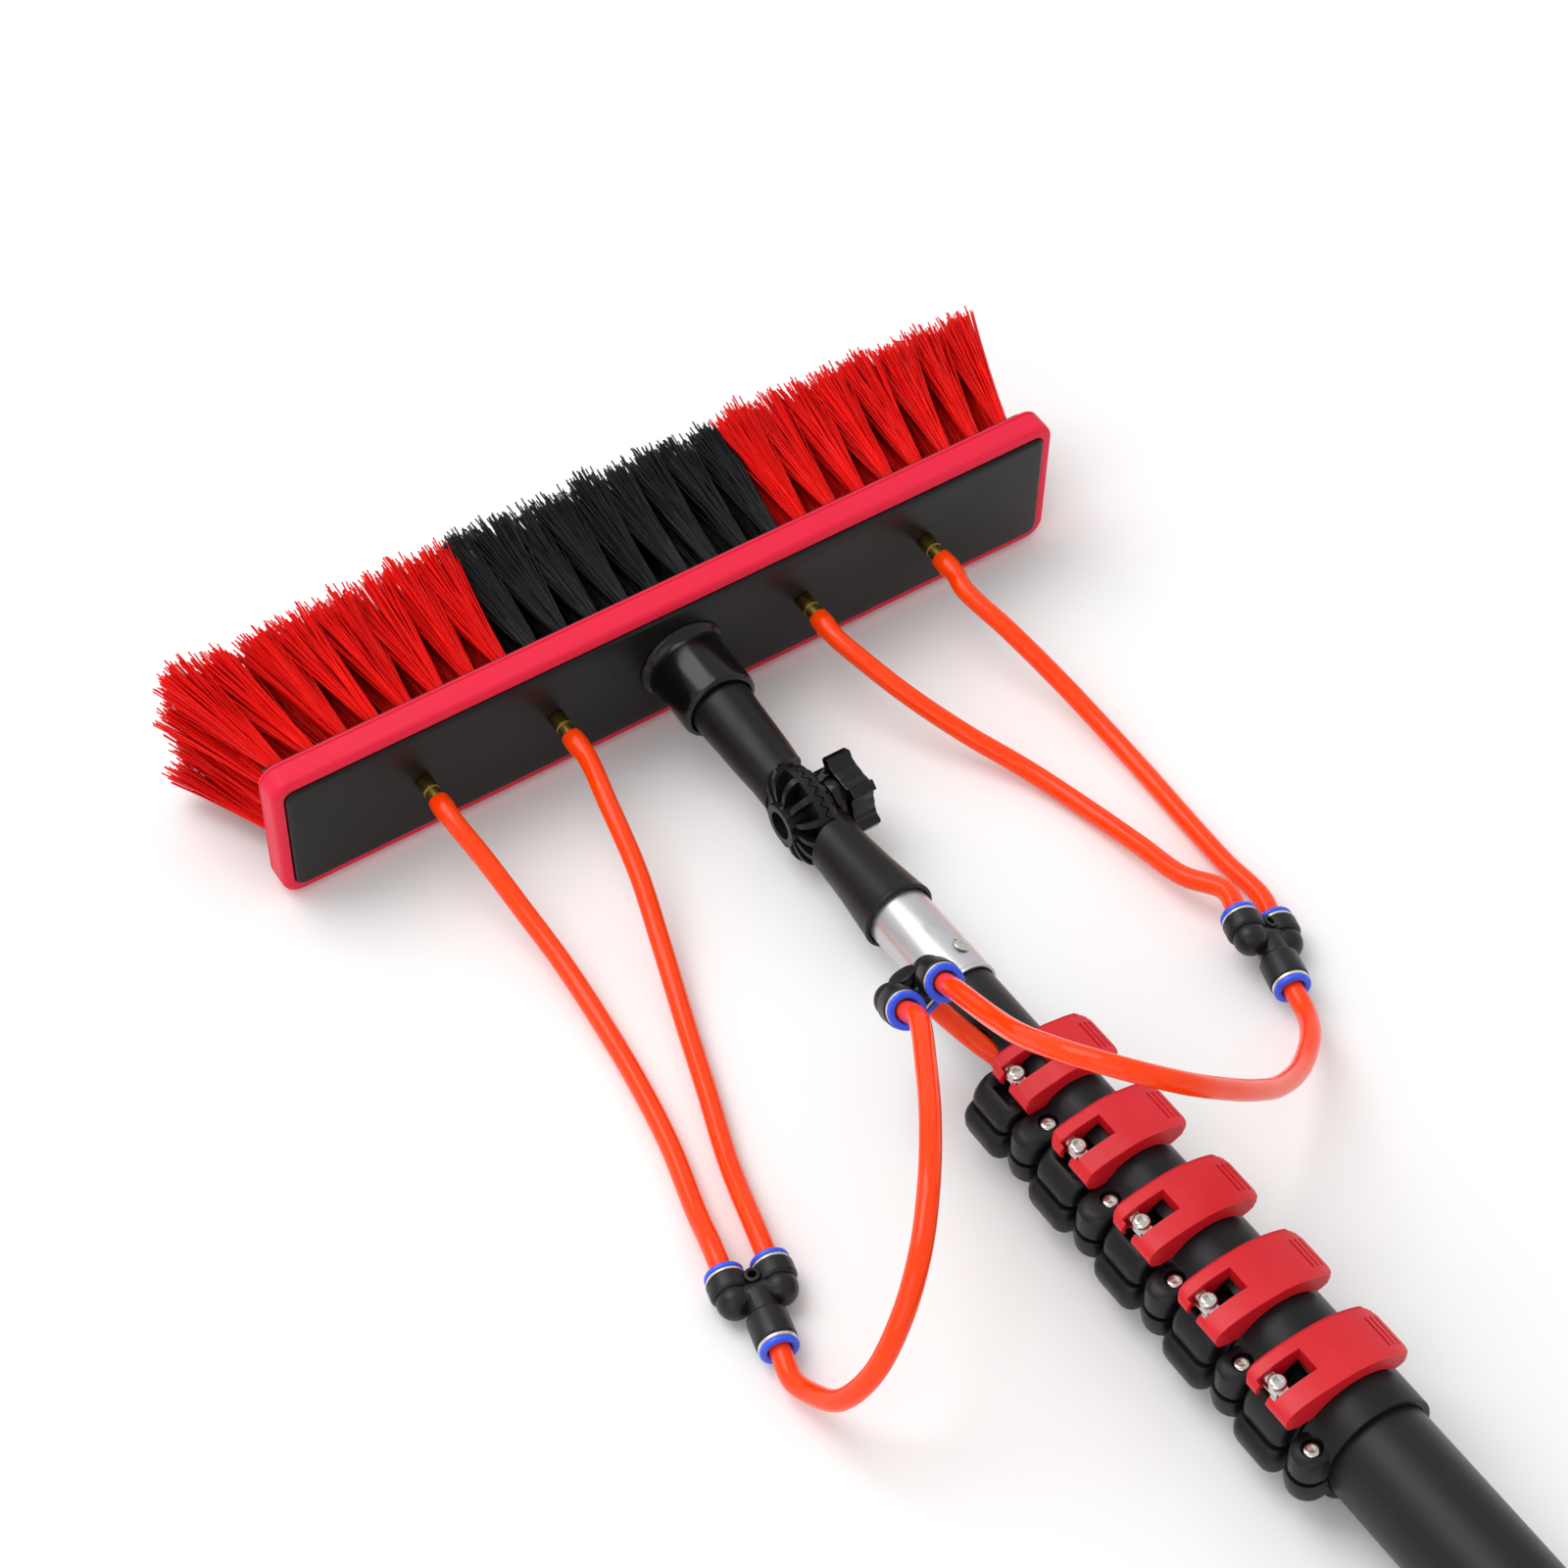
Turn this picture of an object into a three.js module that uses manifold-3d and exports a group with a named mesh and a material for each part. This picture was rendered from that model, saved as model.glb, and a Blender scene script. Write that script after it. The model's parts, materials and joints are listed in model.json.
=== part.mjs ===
// Water-fed window cleaning pole, collapsed and lying on the ground, in millimetres.
// The origin is the centre of the butt cap's end face, +Y runs along the pole to the brush and +Z is up.
import * as THREE from "three";
import { mergeVertices } from "three/addons/utils/BufferGeometryUtils.js";
import Module from "manifold-3d";

const wasm = await Module();
wasm.setup();

// Fits
const seatGap = 0.3; // between pieces that touch
const slideGap = 0.15; // between a guide bush and the section it slides in
const pinGap = 0.3; // round a bolt, screw or pin in its hole

// Telescopic pole
const sectionCount = 6;
const buttDiameter = 40; // outside of the lowest section
const diameterStep = 3.4; // from one section to the next
const tubeWall = 1.2;
const baseTubeTop = 1140; // top end of the lowest section
const topRun = 161.5; // from the last clamp's bolt to the brush hinge
const poleSides = 20;
const armSides = 16; // of the hinge arms and the brush socket

// Guide bushes at the foot of each sliding section
const firstBush = 135; // height of the lowest bush above the butt face
const bushStagger = 27;
const bushFlange = 6;
const bushSpigot = 16;
const hosePassage = 13; // bore that the water hose runs through
const bushSides = poleSides / 2;

// Butt cap
const capFloor = 4;
const capLength = 34;
const capChamfer = 2;
const capWall = 4;

// Section clamps
const clampPitch = 39.5;
const clampBand = 14.5; // length of the band fixed on the lower section
const boltSetback = 11; // from the top of the lower section to the clamp's bolt
const collarWall = 2.75;
const collarSplit = 1.6; // width of the slot between the two ears
const collarSlit = 1.1; // width of the slit that frees the gripping part
const earLine = 30; // outer faces of all the ears, from the pole's axis
const earLength = 22;
const earDrop = 10; // lower ear, below the middle
const earSlope = 4; // how far the ears draw in towards their tops
const screwEarLine = 28;
const screwEarLength = 11;
const screwEarHeight = 10;

// Clamp levers
const leverWidth = 25;
const leverGap = 1.2; // between a closed lever and its collar
const leverRise = 2; // barrel axis above the top of the lower section
const prongRadius = 5.4; // cam round the barrel
const leverThickness = 6.2; // over the top of the collar
const leverFlare = 2.4; // extra at the fork
const slotWidth = 10;
const slotReach = 10; // past the barrel axis
const leverTipRadius = 5;
const gripGrooves = 3;
const grooveLength = 12;
const grooveWidth = 1;
const groovePitch = 3;

// Clamp bolts and fixing screws
const boltOffset = 2.2; // bolt axis outside the lower section
const boltRadius = 2.2;
const boltHeadRadius = 3.4;
const boltHeadHeight = 3.6;
const barrelRadius = 2.6;
const barrelLength = 21;
const fixingOffset = 2.4; // screw axis outside the lower section
const fixingRadius = 1.4;
const fixingHeadRadius = 2.7;
const fixingHeadHeight = 2.6;

// Alloy sleeve at the top of the pole
const sleeveWall = 1.2;
const sleeveFoot = 109; // below the hinge
const sleeveHead = 56; // below the hinge
const rivetRadius = 1.6;
const rivetHeadRadius = 3.4;
const rivetPlace = 97.4; // below the hinge
const rivetAngle = 23.5; // from the top towards +X, in degrees

// Toothed tilt hinge
const rosetteRadius = 20.5;
const rosetteThickness = 9;
const rosetteTeeth = 24;
const toothDepth = 1.6; // at the rim
const rosetteHub = 6;
const hingeWaist = 22.6; // diameter of both arms beside the hinge
const hingeClearance = 0.8; // round each disc
const armEnd = 12; // from the hinge's centre
const socketMouthDiameter = 30;
const socketMouth = 64; // below the hinge
const tubeTopSetback = 66; // top of the last section, below the hinge
const pivotRadius = 3;
const pivotHeadRadius = 5.6;
const pivotHeadHeight = 3.4;
const knobGap = 0.6;
const knobHubRadius = 8.5;
const knobDepth = 14.6;
const knobRimRadius = 13.6; // between the lobes
const knobRimDepth = 8;
const knobLobes = 5;
const knobLobeReach = 17;
const knobLobeWidth = 4.6;
const knobAngle = 63; // turn of the first lobe from +Y towards +Z, in degrees

// Brush head
const brushTilt = 6; // at rest, in degrees
const panelPlace = 91.4; // back of the block beyond the hinge
const blockWidth = 350;
const blockHeight = 56.4;
const blockDepth = 17;
const blockCorner = 4;
const bumperWall = 5;
const bumperSetback = 1.5; // below the back of the block
const bumperDepth = 12.5;
const bumperCorner = 8;
const bumperChamfer = 1.2;
const socketLength = 30;
const socketDiameter = 33;
const socketFlange = 38.5;
const socketFlangeDepth = 3;
const neckMouthDiameter = 26;
const neckSpigot = 24; // length inside the block's socket

// Water jets
const jetPlaces = [-117.4, -57.8, 57.8, 117.4];
const jetRadius = 3;
const jetCollarRadius = 3.6;
const jetCollarDepth = 5;
const jetTail = 11; // behind the block

// Bristles
const backingDepth = 2;
const backingInset = 2.5; // inside the block's long edges
const tuftPitch = 14;
const tuftRows = 4;
const tuftColumns = [8, 9, 8]; // left, middle, right
const tuftStrands = 3;
const strandSides = 3;
const strandBase = 1.7; // radius at the backing
const strandRing = 2.1; // radius of the strands' circle in a tuft
const tuftSpread = 4.6; // radius of the same circle at the tips
const bristleLength = 62;
const endSplay = 19; // outward lean at the tips, towards the block's ends
const sideSplay = 11; // and towards its long sides
const raggedness = 3;

// Water hose
const hoseRadius = 4;
const hoseSides = 8;
const hoseStep = 24; // between rings of a free stretch
const portClearance = 0.9; // round the hose where it passes through a tube wall
const innerHoseFoot = 126; // lower end of the hose run inside the pole, above the butt face

// Push-in fittings
const barrelOuter = 7.75;
const colletRadius = 7.35;
const colletDepth = 2;
const branchSpacing = 17;
const fittingSides = 8;

// Stored hose
const coilPitch = 8.7;
const coilTurnsPerLayer = 3;
const coilLayers = 4;
const coilOuterRadius = 83; // centre line of the outermost turn
const coilSteps = 16; // rings in a turn
const coilSides = 6;
const coilCentre = [115, 115];
const connectorRadius = 10;
const connectorRingRadius = 8.6;
const connectorLength = 46;
const connectorBore = 4.5;
const connectorBoreDepth = 18;
const connectorSides = 12;

const poleRadius = (section) => (buttDiameter - (section - 1) * diameterStep) / 2;
const boreRadius = (section) => poleRadius(section) - tubeWall;
const collarRadius = (section) => poleRadius(section) + collarWall;
const capRadius = poleRadius(1) + capWall;
const floorLevel = -capRadius;
const sectionTop = (section) => baseTubeTop + (section - 1) * clampPitch;
const boltPlace = (clamp) => sectionTop(clamp) + boltSetback;
const hingePlace = boltPlace(sectionCount - 1) + topRun;
const bushPlace = (section) => firstBush + (section - 2) * bushStagger;
const degrees = THREE.MathUtils.degToRad;

// Booleans on plain geometries

function merged(geometry) {
  const bare = geometry.clone();
  bare.deleteAttribute("normal");
  bare.deleteAttribute("uv");
  const welded = mergeVertices(bare, 1e-4);
  const corners = welded.index.array;
  const kept = [];
  for (let i = 0; i < corners.length; i += 3) {
    const [a, b, c] = corners.slice(i, i + 3);
    if (a !== b && b !== c && c !== a) kept.push(a, b, c);
  }
  welded.setIndex(kept);
  return welded;
}

function volume(geometry) {
  const points = geometry.attributes.position;
  const corner = [new THREE.Vector3(), new THREE.Vector3(), new THREE.Vector3()];
  let sum = 0;
  for (let i = 0; i < geometry.index.count; i += 3) {
    corner.forEach((point, k) => point.fromBufferAttribute(points, geometry.index.getX(i + k)));
    sum += corner[0].dot(corner[1].cross(corner[2])) / 6;
  }
  return sum;
}

function solid(geometry) {
  const closed = merged(geometry);
  const corners = Uint32Array.from(closed.index.array);
  if (volume(closed) < 0) corners.reverse();
  return new wasm.Manifold(
    new wasm.Mesh({
      numProp: 3,
      vertProperties: Float32Array.from(closed.attributes.position.array),
      triVerts: corners,
    }),
  );
}

function plain(body) {
  const mesh = body.getMesh();
  const geometry = new THREE.BufferGeometry();
  geometry.setAttribute("position", new THREE.BufferAttribute(mesh.vertProperties, 3));
  geometry.setIndex(new THREE.BufferAttribute(mesh.triVerts, 1));
  return geometry;
}

const join = (...parts) => plain(parts.map(solid).reduce((a, b) => a.add(b)));
const cut = (body, ...tools) => plain(tools.map(solid).reduce((a, b) => a.subtract(b), solid(body)));
const common = (a, b) => plain(solid(a).intersect(solid(b)));

// Basic shapes

// A closed outline of [radius, height] pairs turned round the Y axis.
function turned(outline, sides) {
  const points = outline.map(([radius, height]) => new THREE.Vector2(radius, height));
  const onAxis = outline[0][0] === 0 && outline.at(-1)[0] === 0;
  if (!onAxis) points.push(points[0].clone());
  return new THREE.LatheGeometry(points, sides);
}

const rod = (radius, length, sides) => new THREE.CylinderGeometry(radius, radius, length, sides);
const rodUp = (radius, length, sides) => rod(radius, length, sides).rotateX(Math.PI / 2);
const rodAcross = (radius, length, sides) => rod(radius, length, sides).rotateZ(Math.PI / 2);

function block(x, y, z) {
  const [low, high] = [new THREE.Vector3(x[0], y[0], z[0]), new THREE.Vector3(x[1], y[1], z[1])];
  const size = high.clone().sub(low);
  const middle = low.add(high).multiplyScalar(0.5);
  return new THREE.BoxGeometry(...size).translate(...middle);
}

function roundedRectangle(width, height, radius) {
  const [x, y] = [width / 2 - radius, height / 2 - radius];
  const outline = new THREE.Shape();
  outline.absarc(x, y, radius, 0, Math.PI / 2);
  outline.absarc(-x, y, radius, Math.PI / 2, Math.PI);
  outline.absarc(-x, -y, radius, Math.PI, 1.5 * Math.PI);
  outline.absarc(x, -y, radius, 1.5 * Math.PI, 2 * Math.PI);
  outline.closePath();
  return outline;
}

function raised(outline, depth, curveSegments, bevel = 0) {
  const settings = {
    depth: depth - 2 * bevel,
    curveSegments,
    bevelEnabled: bevel > 0,
    bevelSize: bevel,
    bevelThickness: bevel,
    bevelOffset: -bevel,
    bevelSegments: 1,
  };
  return new THREE.ExtrudeGeometry(outline, settings).translate(0, 0, bevel);
}

// An outline in X and Z, given a width along Y.
const across = (outline, width) => raised(outline, width, 6).translate(0, 0, -width / 2).rotateX(Math.PI / 2);

const vector = (point) => new THREE.Vector3(...point);

// A smooth line through points, as evenly spaced points.
function smooth(points, step) {
  const line = new THREE.CatmullRomCurve3(points.map(vector), false, "centripetal");
  return line.getSpacedPoints(Math.ceil(line.getLength() / step));
}

// A hose of round section with one ring at each point, each ring square to the line.
function hose(line, radius, sides) {
  const points = [];
  const corners = [];
  const across = new THREE.Vector3();
  line.forEach((centre, i) => {
    const along = line[Math.min(i + 1, line.length - 1)].clone().sub(line[Math.max(i - 1, 0)]).normalize();
    if (i === 0) across.set(Math.abs(along.z) < 0.9 ? 0 : 1, 0, Math.abs(along.z) < 0.9 ? 1 : 0);
    across.addScaledVector(along, -across.dot(along)).normalize();
    const side = along.clone().cross(across);
    for (let k = 0; k < sides; k++) {
      const angle = (2 * Math.PI * k) / sides;
      const point = centre.clone().addScaledVector(across, radius * Math.cos(angle));
      points.push(...point.addScaledVector(side, radius * Math.sin(angle)));
      if (i === 0) continue;
      const [a, b] = [i * sides + k, i * sides + ((k + 1) % sides)];
      corners.push(a - sides, b - sides, b, a - sides, b, a);
    }
  });
  const last = (line.length - 1) * sides;
  for (let k = 2; k < sides; k++) corners.push(0, k, k - 1, last, last + k - 1, last + k);
  const geometry = new THREE.BufferGeometry();
  geometry.setAttribute("position", new THREE.Float32BufferAttribute(points, 3));
  geometry.setIndex(corners);
  return geometry;
}

// Materials

const finish = (color, roughness, metalness = 0) => new THREE.MeshStandardMaterial({ color, roughness, metalness });
const finishes = {
  tube: () => finish("#2b2b2f", 0.55),
  blackPlastic: () => finish("#232325", 0.5),
  lever: () => finish("#c8263a", 0.4),
  chrome: () => finish("#d8d8da", 0.15, 1),
  alloy: () => finish("#c9c9cc", 0.35, 1),
  panel: () => finish("#2b292c", 0.4),
  bumper: () => finish("#ee3350", 0.45),
  redBristle: () => finish("#e51515", 0.45),
  blackBristle: () => finish("#1a1a1a", 0.45),
  brass: () => finish("#8a7038", 0.35, 1),
  hose: () => finish("#ff3b1a", 0.2),
  fitting: () => finish("#2c2c2e", 0.45),
};

const pole = new THREE.Group();

function piece(name, geometry, material, group = pole) {
  const mesh = new THREE.Mesh(geometry, material());
  mesh.name = name;
  group.add(mesh);
  return mesh;
}

const head = new THREE.Group(); // frame of the tilt hinge: axis along X
head.position.set(0, hingePlace, 0);
pole.add(head);

// Shapes of the pole sections, guide bushes and butt cap

function sectionTube(section) {
  const foot = section === 1 ? capFloor + seatGap : bushPlace(section) + bushFlange + seatGap;
  const top = section === sectionCount ? hingePlace - tubeTopSetback : sectionTop(section);
  const [bore, outside] = [boreRadius(section), poleRadius(section)];
  return turned([[bore, foot], [outside, foot], [outside, top], [bore, top]], poleSides);
}

function guideBush(section) {
  const flange = boreRadius(section - 1) - slideGap;
  const spigot = boreRadius(section) - seatGap;
  const passage = hosePassage / 2;
  const foot = bushPlace(section);
  const shoulder = foot + bushFlange;
  const top = shoulder + bushSpigot;
  const outline = [[passage, foot], [flange, foot], [flange, shoulder], [spigot, shoulder]];
  return turned([...outline, [spigot, top], [passage, top]], bushSides);
}

function buttCap() {
  const bore = poleRadius(1) + seatGap;
  const outline = [[0, 0], [capRadius - capChamfer, 0], [capRadius, capChamfer], [capRadius, capLength]];
  outline.push([bore, capLength], [bore, capFloor], [0, capFloor]);
  return turned(outline, poleSides);
}

// Section clamps: a collar fixed on one section grips the next when its cam lever closes

const boltAcross = (clamp) => -(poleRadius(clamp) + boltOffset);
const screwAcross = (clamp) => -(poleRadius(clamp) + fixingOffset);
const barrelHeight = (clamp) => poleRadius(clamp) + leverRise;
const earTop = (clamp) => barrelHeight(clamp) - prongRadius - seatGap;
const screwPlace = -(leverWidth + clampBand) / 2;
const screwSeat = screwEarHeight - fixingHeadHeight;

// A pair of ears before they are split: upright at the foot, drawn in towards the top.
function earPair(reach, top, drop, length) {
  const outline = new THREE.Shape();
  outline.moveTo(0, -drop);
  outline.lineTo(2 - reach, -drop);
  outline.lineTo(-reach, 2 - drop);
  outline.lineTo(-reach, 0);
  outline.lineTo(earSlope - reach, top);
  outline.lineTo(0, top);
  return across(outline, length);
}

function clampCollar(clamp) {
  const fixedBore = poleRadius(clamp) + seatGap;
  const grippingBore = poleRadius(clamp + 1) + seatGap;
  const outside = collarRadius(clamp);
  const foot = -leverWidth / 2 - clampBand;
  const front = foot + clampPitch - seatGap;
  const shoulder = seatGap - boltSetback;
  const drum = turned([[0, foot], [outside, foot], [outside, front], [0, front]], poleSides);
  const ears = earPair(earLine, earTop(clamp), earDrop, earLength);
  const screwEars = earPair(screwEarLine, screwEarHeight, screwEarHeight, screwEarLength).translate(0, screwPlace, 0);
  const bore = turned(
    [
      [0, foot - 1], [fixedBore, foot - 1], [fixedBore, shoulder], [grippingBore, shoulder],
      [grippingBore, front + 1], [0, front + 1],
    ],
    poleSides,
  );
  const split = block([-2 * earLine, 0], [foot - 1, front + 1], [-collarSplit / 2, collarSplit / 2]);
  const slitFront = -earLength / 2 - seatGap;
  const slit = block([-2 * earLine, -collarWall], [slitFront - collarSlit, slitFront], [-earLine, earLine]);
  const boltHole = rodUp(boltRadius + pinGap, 2 * earLine, 8).translate(boltAcross(clamp), 0, 0);
  const screwHole = rodUp(fixingRadius + pinGap, 2 * earLine, 8).translate(screwAcross(clamp), screwPlace, 0);
  const recess = rodUp(fixingHeadRadius + pinGap, earLine, 8);
  recess.translate(screwAcross(clamp), screwPlace, screwSeat + earLine / 2);
  return cut(join(drum, ears, screwEars), bore, split, slit, boltHole, screwHole, recess);
}

// The closed lever hugs the collar. Angles are about the pole's axis, from +X towards +Z.
function clampLever(clamp) {
  const rim = collarRadius(clamp);
  const inside = rim + leverGap;
  const barrel = [boltAcross(clamp), barrelHeight(clamp)];
  const about = (centre, radius, angle) =>
    new THREE.Vector2(centre[0] + radius * Math.cos(degrees(angle)), centre[1] + radius * Math.sin(degrees(angle)));
  const prong = [270, 235, 200, 160].map((angle) => about(barrel, prongRadius, angle));
  const crown = new THREE.Vector2(barrel[0] - 1.5, barrel[1] + prongRadius + leverFlare);
  const back = [106, 84, 62, 42].map((angle) => about([0, 0], inside + leverThickness, angle));
  const tip = [[28, leverThickness], [21, leverThickness - 0.8], [19, 2]];
  const facet = tip.map(([angle, rise]) => about([0, 0], inside + rise, angle));
  const root = 180 - THREE.MathUtils.radToDeg(Math.asin((barrel[1] - prongRadius) / inside));
  const under = [34, 54, 74, 94, 114].map((angle) => about([0, 0], inside, angle));
  const outline = new THREE.Shape([...prong, crown, ...back, ...facet, ...under, about([0, 0], inside, root)]);
  const body = across(outline, leverWidth);

  const planLength = facet[0].x - barrel[0] + 2 * prongRadius;
  const plan = raised(roundedRectangle(planLength, leverWidth, leverTipRadius), 4 * rim, 2);
  plan.translate(facet[0].x - planLength / 2, 0, -rim);
  const slot = block([2 * barrel[0], barrel[0] + slotReach], [-slotWidth / 2, slotWidth / 2], [0, 3 * rim]);
  const barrelHole = rod(barrelRadius + pinGap, barrelLength + 2 * pinGap, 10).translate(barrel[0], 0, barrel[1]);
  const grooves = [];
  for (let i = 0; i < gripGrooves; i++) {
    const angle = 36 + (i * groovePitch * 180) / (Math.PI * rim);
    const place = about([0, 0], inside + leverThickness + 0.3, angle);
    const half = [grooveWidth / 2, grooveLength / 2];
    const groove = block([-grooveWidth, grooveWidth], [-half[1], half[1]], [-half[0], half[0]]);
    grooves.push(groove.rotateY(degrees(-angle)).translate(place.x, 0, place.y));
  }
  return cut(common(body, plan), slot, barrelHole, ...grooves);
}

function tensionBolt(clamp) {
  const height = barrelHeight(clamp);
  const foot = 2 - earDrop;
  const seat = height + barrelRadius - 0.6;
  const shank = rodUp(boltRadius, height - foot, 8).translate(0, 0, (height + foot) / 2);
  const headOutside = rodUp(boltHeadRadius, boltHeadHeight, 10).translate(0, 0, seat + boltHeadHeight / 2);
  const socket = rodUp(boltHeadRadius / 2, boltHeadHeight, 6).translate(0, 0, seat + boltHeadHeight);
  const barrel = rod(barrelRadius, barrelLength, 10).translate(0, 0, height);
  return cut(join(shank, headOutside, barrel), socket).translate(boltAcross(clamp), 0, 0);
}

function fixingScrew(clamp) {
  const length = screwSeat + screwEarHeight - 1;
  const shank = rodUp(fixingRadius, length, 6).translate(0, 0, screwSeat - length / 2 + 0.5);
  const headOutside = rodUp(fixingHeadRadius, fixingHeadHeight, 8);
  headOutside.translate(0, 0, screwSeat + seatGap + fixingHeadHeight / 2);
  return join(shank, headOutside).translate(screwAcross(clamp), screwPlace, 0);
}

for (let clamp = 1; clamp < sectionCount; clamp++) {
  const place = new THREE.Group();
  place.position.set(0, boltPlace(clamp), 0);
  pole.add(place);
  piece(`clamp_collar_${clamp}`, clampCollar(clamp), finishes.blackPlastic, place);
  piece(`clamp_lever_${clamp}`, clampLever(clamp), finishes.lever, place);
  piece(`tension_bolt_${clamp}`, tensionBolt(clamp), finishes.chrome, place);
  piece(`fixing_screw_${clamp}`, fixingScrew(clamp), finishes.chrome, place);
}

// Top of the pole: alloy sleeve with its rivet

const sleeveBore = poleRadius(sectionCount) + seatGap;
const sleeveRadius = sleeveBore + sleeveWall;

function onSleeve(geometry) {
  return geometry.rotateY(degrees(rivetAngle)).translate(0, -rivetPlace, 0);
}

const sleeve = turned(
  [[sleeveBore, -sleeveFoot], [sleeveRadius, -sleeveFoot], [sleeveRadius, -sleeveHead], [sleeveBore, -sleeveHead]],
  poleSides,
);
const rivetHole = onSleeve(rodUp(rivetRadius + pinGap, sleeveRadius, 8).translate(0, 0, sleeveRadius));
piece("alloy_sleeve", cut(sleeve, rivetHole), finishes.alloy, head);
const rivetShank = rodUp(rivetRadius, sleeveWall + 1, 8).translate(0, 0, sleeveRadius);
const rivetHead = rodUp(rivetHeadRadius, 1, 12).translate(0, 0, sleeveRadius + seatGap + 0.5);
piece("sleeve_rivet", onSleeve(join(rivetShank, rivetHead)), finishes.alloy, head);

// Tilt hinge: two toothed discs drawn together by a bolt and a star knob

// A disc with radial teeth on one face. Its teeth point to +X and the parting plane is x = 0.
function rosette(turn) {
  const count = 2 * rosetteTeeth;
  const points = [];
  const corners = [];
  const back = -rosetteThickness;
  for (let i = 0; i < count; i++) {
    const angle = ((i + turn) * 2 * Math.PI) / count;
    const [y, z] = [Math.cos(angle), Math.sin(angle)];
    const rise = (i % 2 === 0 ? 1 : -1) * (toothDepth / 2);
    const hubRise = (rise * rosetteHub) / rosetteRadius;
    const edge = [back, rosetteRadius * y, rosetteRadius * z];
    const tooth = [rise - seatGap / 2, rosetteRadius * y, rosetteRadius * z];
    const hub = [hubRise - seatGap / 2, rosetteHub * y, rosetteHub * z];
    points.push(edge, tooth, hub);
  }
  points.push([back, 0, 0], [-seatGap / 2, 0, 0]);
  const [backMiddle, frontMiddle] = [3 * count, 3 * count + 1];
  for (let i = 0; i < count; i++) {
    const [edge, tooth, hub] = [3 * i, 3 * i + 1, 3 * i + 2];
    const [nextEdge, nextTooth, nextHub] = [edge, tooth, hub].map((point) => (point + 3) % (3 * count));
    corners.push(backMiddle, nextEdge, edge, edge, nextEdge, tooth, tooth, nextEdge, nextTooth);
    corners.push(tooth, nextTooth, hub, hub, nextTooth, nextHub, hub, nextHub, frontMiddle);
  }
  const disc = new THREE.BufferGeometry();
  disc.setAttribute("position", new THREE.Float32BufferAttribute(points.flat(), 3));
  disc.setIndex(corners);
  return disc;
}

const discSpace = rodAcross(rosetteRadius + hingeClearance, 2 * rosetteRadius, 24);
const pivotHole = rodAcross(pivotRadius + pinGap, 4 * rosetteRadius, 10);
const waist = hingeWaist / 2;

function adapterSocket() {
  const mouth = socketMouthDiameter / 2;
  const seat = sleeveRadius + seatGap;
  const deep = seatGap - sleeveHead;
  const arm = turned(
    [
      [0, deep], [seat, deep], [seat, -socketMouth], [mouth, -socketMouth], [mouth - 0.4, -socketMouth + 3],
      [waist + 1.2, -socketMouth + 22], [waist, -rosetteRadius], [waist, -armEnd], [0, -armEnd],
    ],
    armSides,
  );
  const otherDisc = discSpace.clone().translate(toothDepth - rosetteRadius, 0, 0);
  const restTurn = (brushTilt * rosetteTeeth) / 180;
  const disc = rosette(1 + restTurn).scale(-1, 1, 1);
  return cut(join(cut(arm, otherDisc), disc), pivotHole);
}

function adapterNeck() {
  const mouth = panelPlace - socketLength;
  const spigotTop = mouth + neckSpigot;
  const spigot = neckMouthDiameter / 2;
  const arm = turned(
    [[0, armEnd], [waist, armEnd], [waist, rosetteRadius], [spigot, mouth - 6], [spigot, spigotTop], [0, spigotTop]],
    armSides,
  );
  const otherDisc = discSpace.clone().translate(rosetteRadius - toothDepth, 0, 0);
  const headRecess = rodAcross(pivotHeadRadius + pinGap, 2 * (pivotHeadHeight + seatGap), 12);
  headRecess.translate(-rosetteThickness, 0, 0);
  const bored = cut(join(cut(arm, otherDisc), rosette(0)), pivotHole);
  return cut(bored, headRecess);
}

function pivotBolt() {
  const back = -rosetteThickness;
  const foot = back + pivotHeadHeight / 2;
  const front = rosetteThickness + knobGap + knobDepth - 4;
  const shank = rodAcross(pivotRadius, front - foot, 10).translate((front + foot) / 2, 0, 0);
  const bolt = rodAcross(pivotHeadRadius, pivotHeadHeight, 12).translate(foot, 0, 0);
  const socket = rodAcross(pivotHeadRadius / 2, pivotHeadHeight, 6).translate(back, 0, 0);
  return cut(join(shank, bolt), socket);
}

function starKnob() {
  const seat = rosetteThickness + knobGap;
  const rimSeat = seat + knobDepth - knobRimDepth;
  const hub = rodAcross(knobHubRadius, knobDepth, 16).translate(seat + knobDepth / 2, 0, 0);
  const rim = rodAcross(knobRimRadius, knobRimDepth, 4 * knobLobes).translate(rimSeat + knobRimDepth / 2, 0, 0);
  const lobes = [];
  for (let i = 0; i < knobLobes; i++) {
    const outline = roundedRectangle(knobLobeReach, knobLobeWidth, 1.2).getPoints(2);
    const lobe = raised(new THREE.Shape(outline), knobRimDepth, 2).translate(knobLobeReach / 2, 0, 0);
    lobe.rotateY(Math.PI / 2).rotateX(Math.PI / 2).rotateX(degrees(knobAngle + (i * 360) / knobLobes));
    lobes.push(lobe.translate(rimSeat, 0, 0));
  }
  const hole = rodAcross(pivotRadius + pinGap, 2 * (knobDepth - 3), 10).translate(seat, 0, 0);
  return cut(join(hub, rim, ...lobes), hole);
}

piece("adapter_socket", adapterSocket(), finishes.blackPlastic, head);
piece("pivot_bolt", pivotBolt(), finishes.chrome, head);
piece("star_knob", starKnob(), finishes.blackPlastic, head);

// Brush head, tilted on the hinge

const brush = new THREE.Group();
brush.rotation.x = degrees(brushTilt);
head.add(brush);
piece("adapter_neck", adapterNeck(), finishes.blackPlastic, brush);

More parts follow.
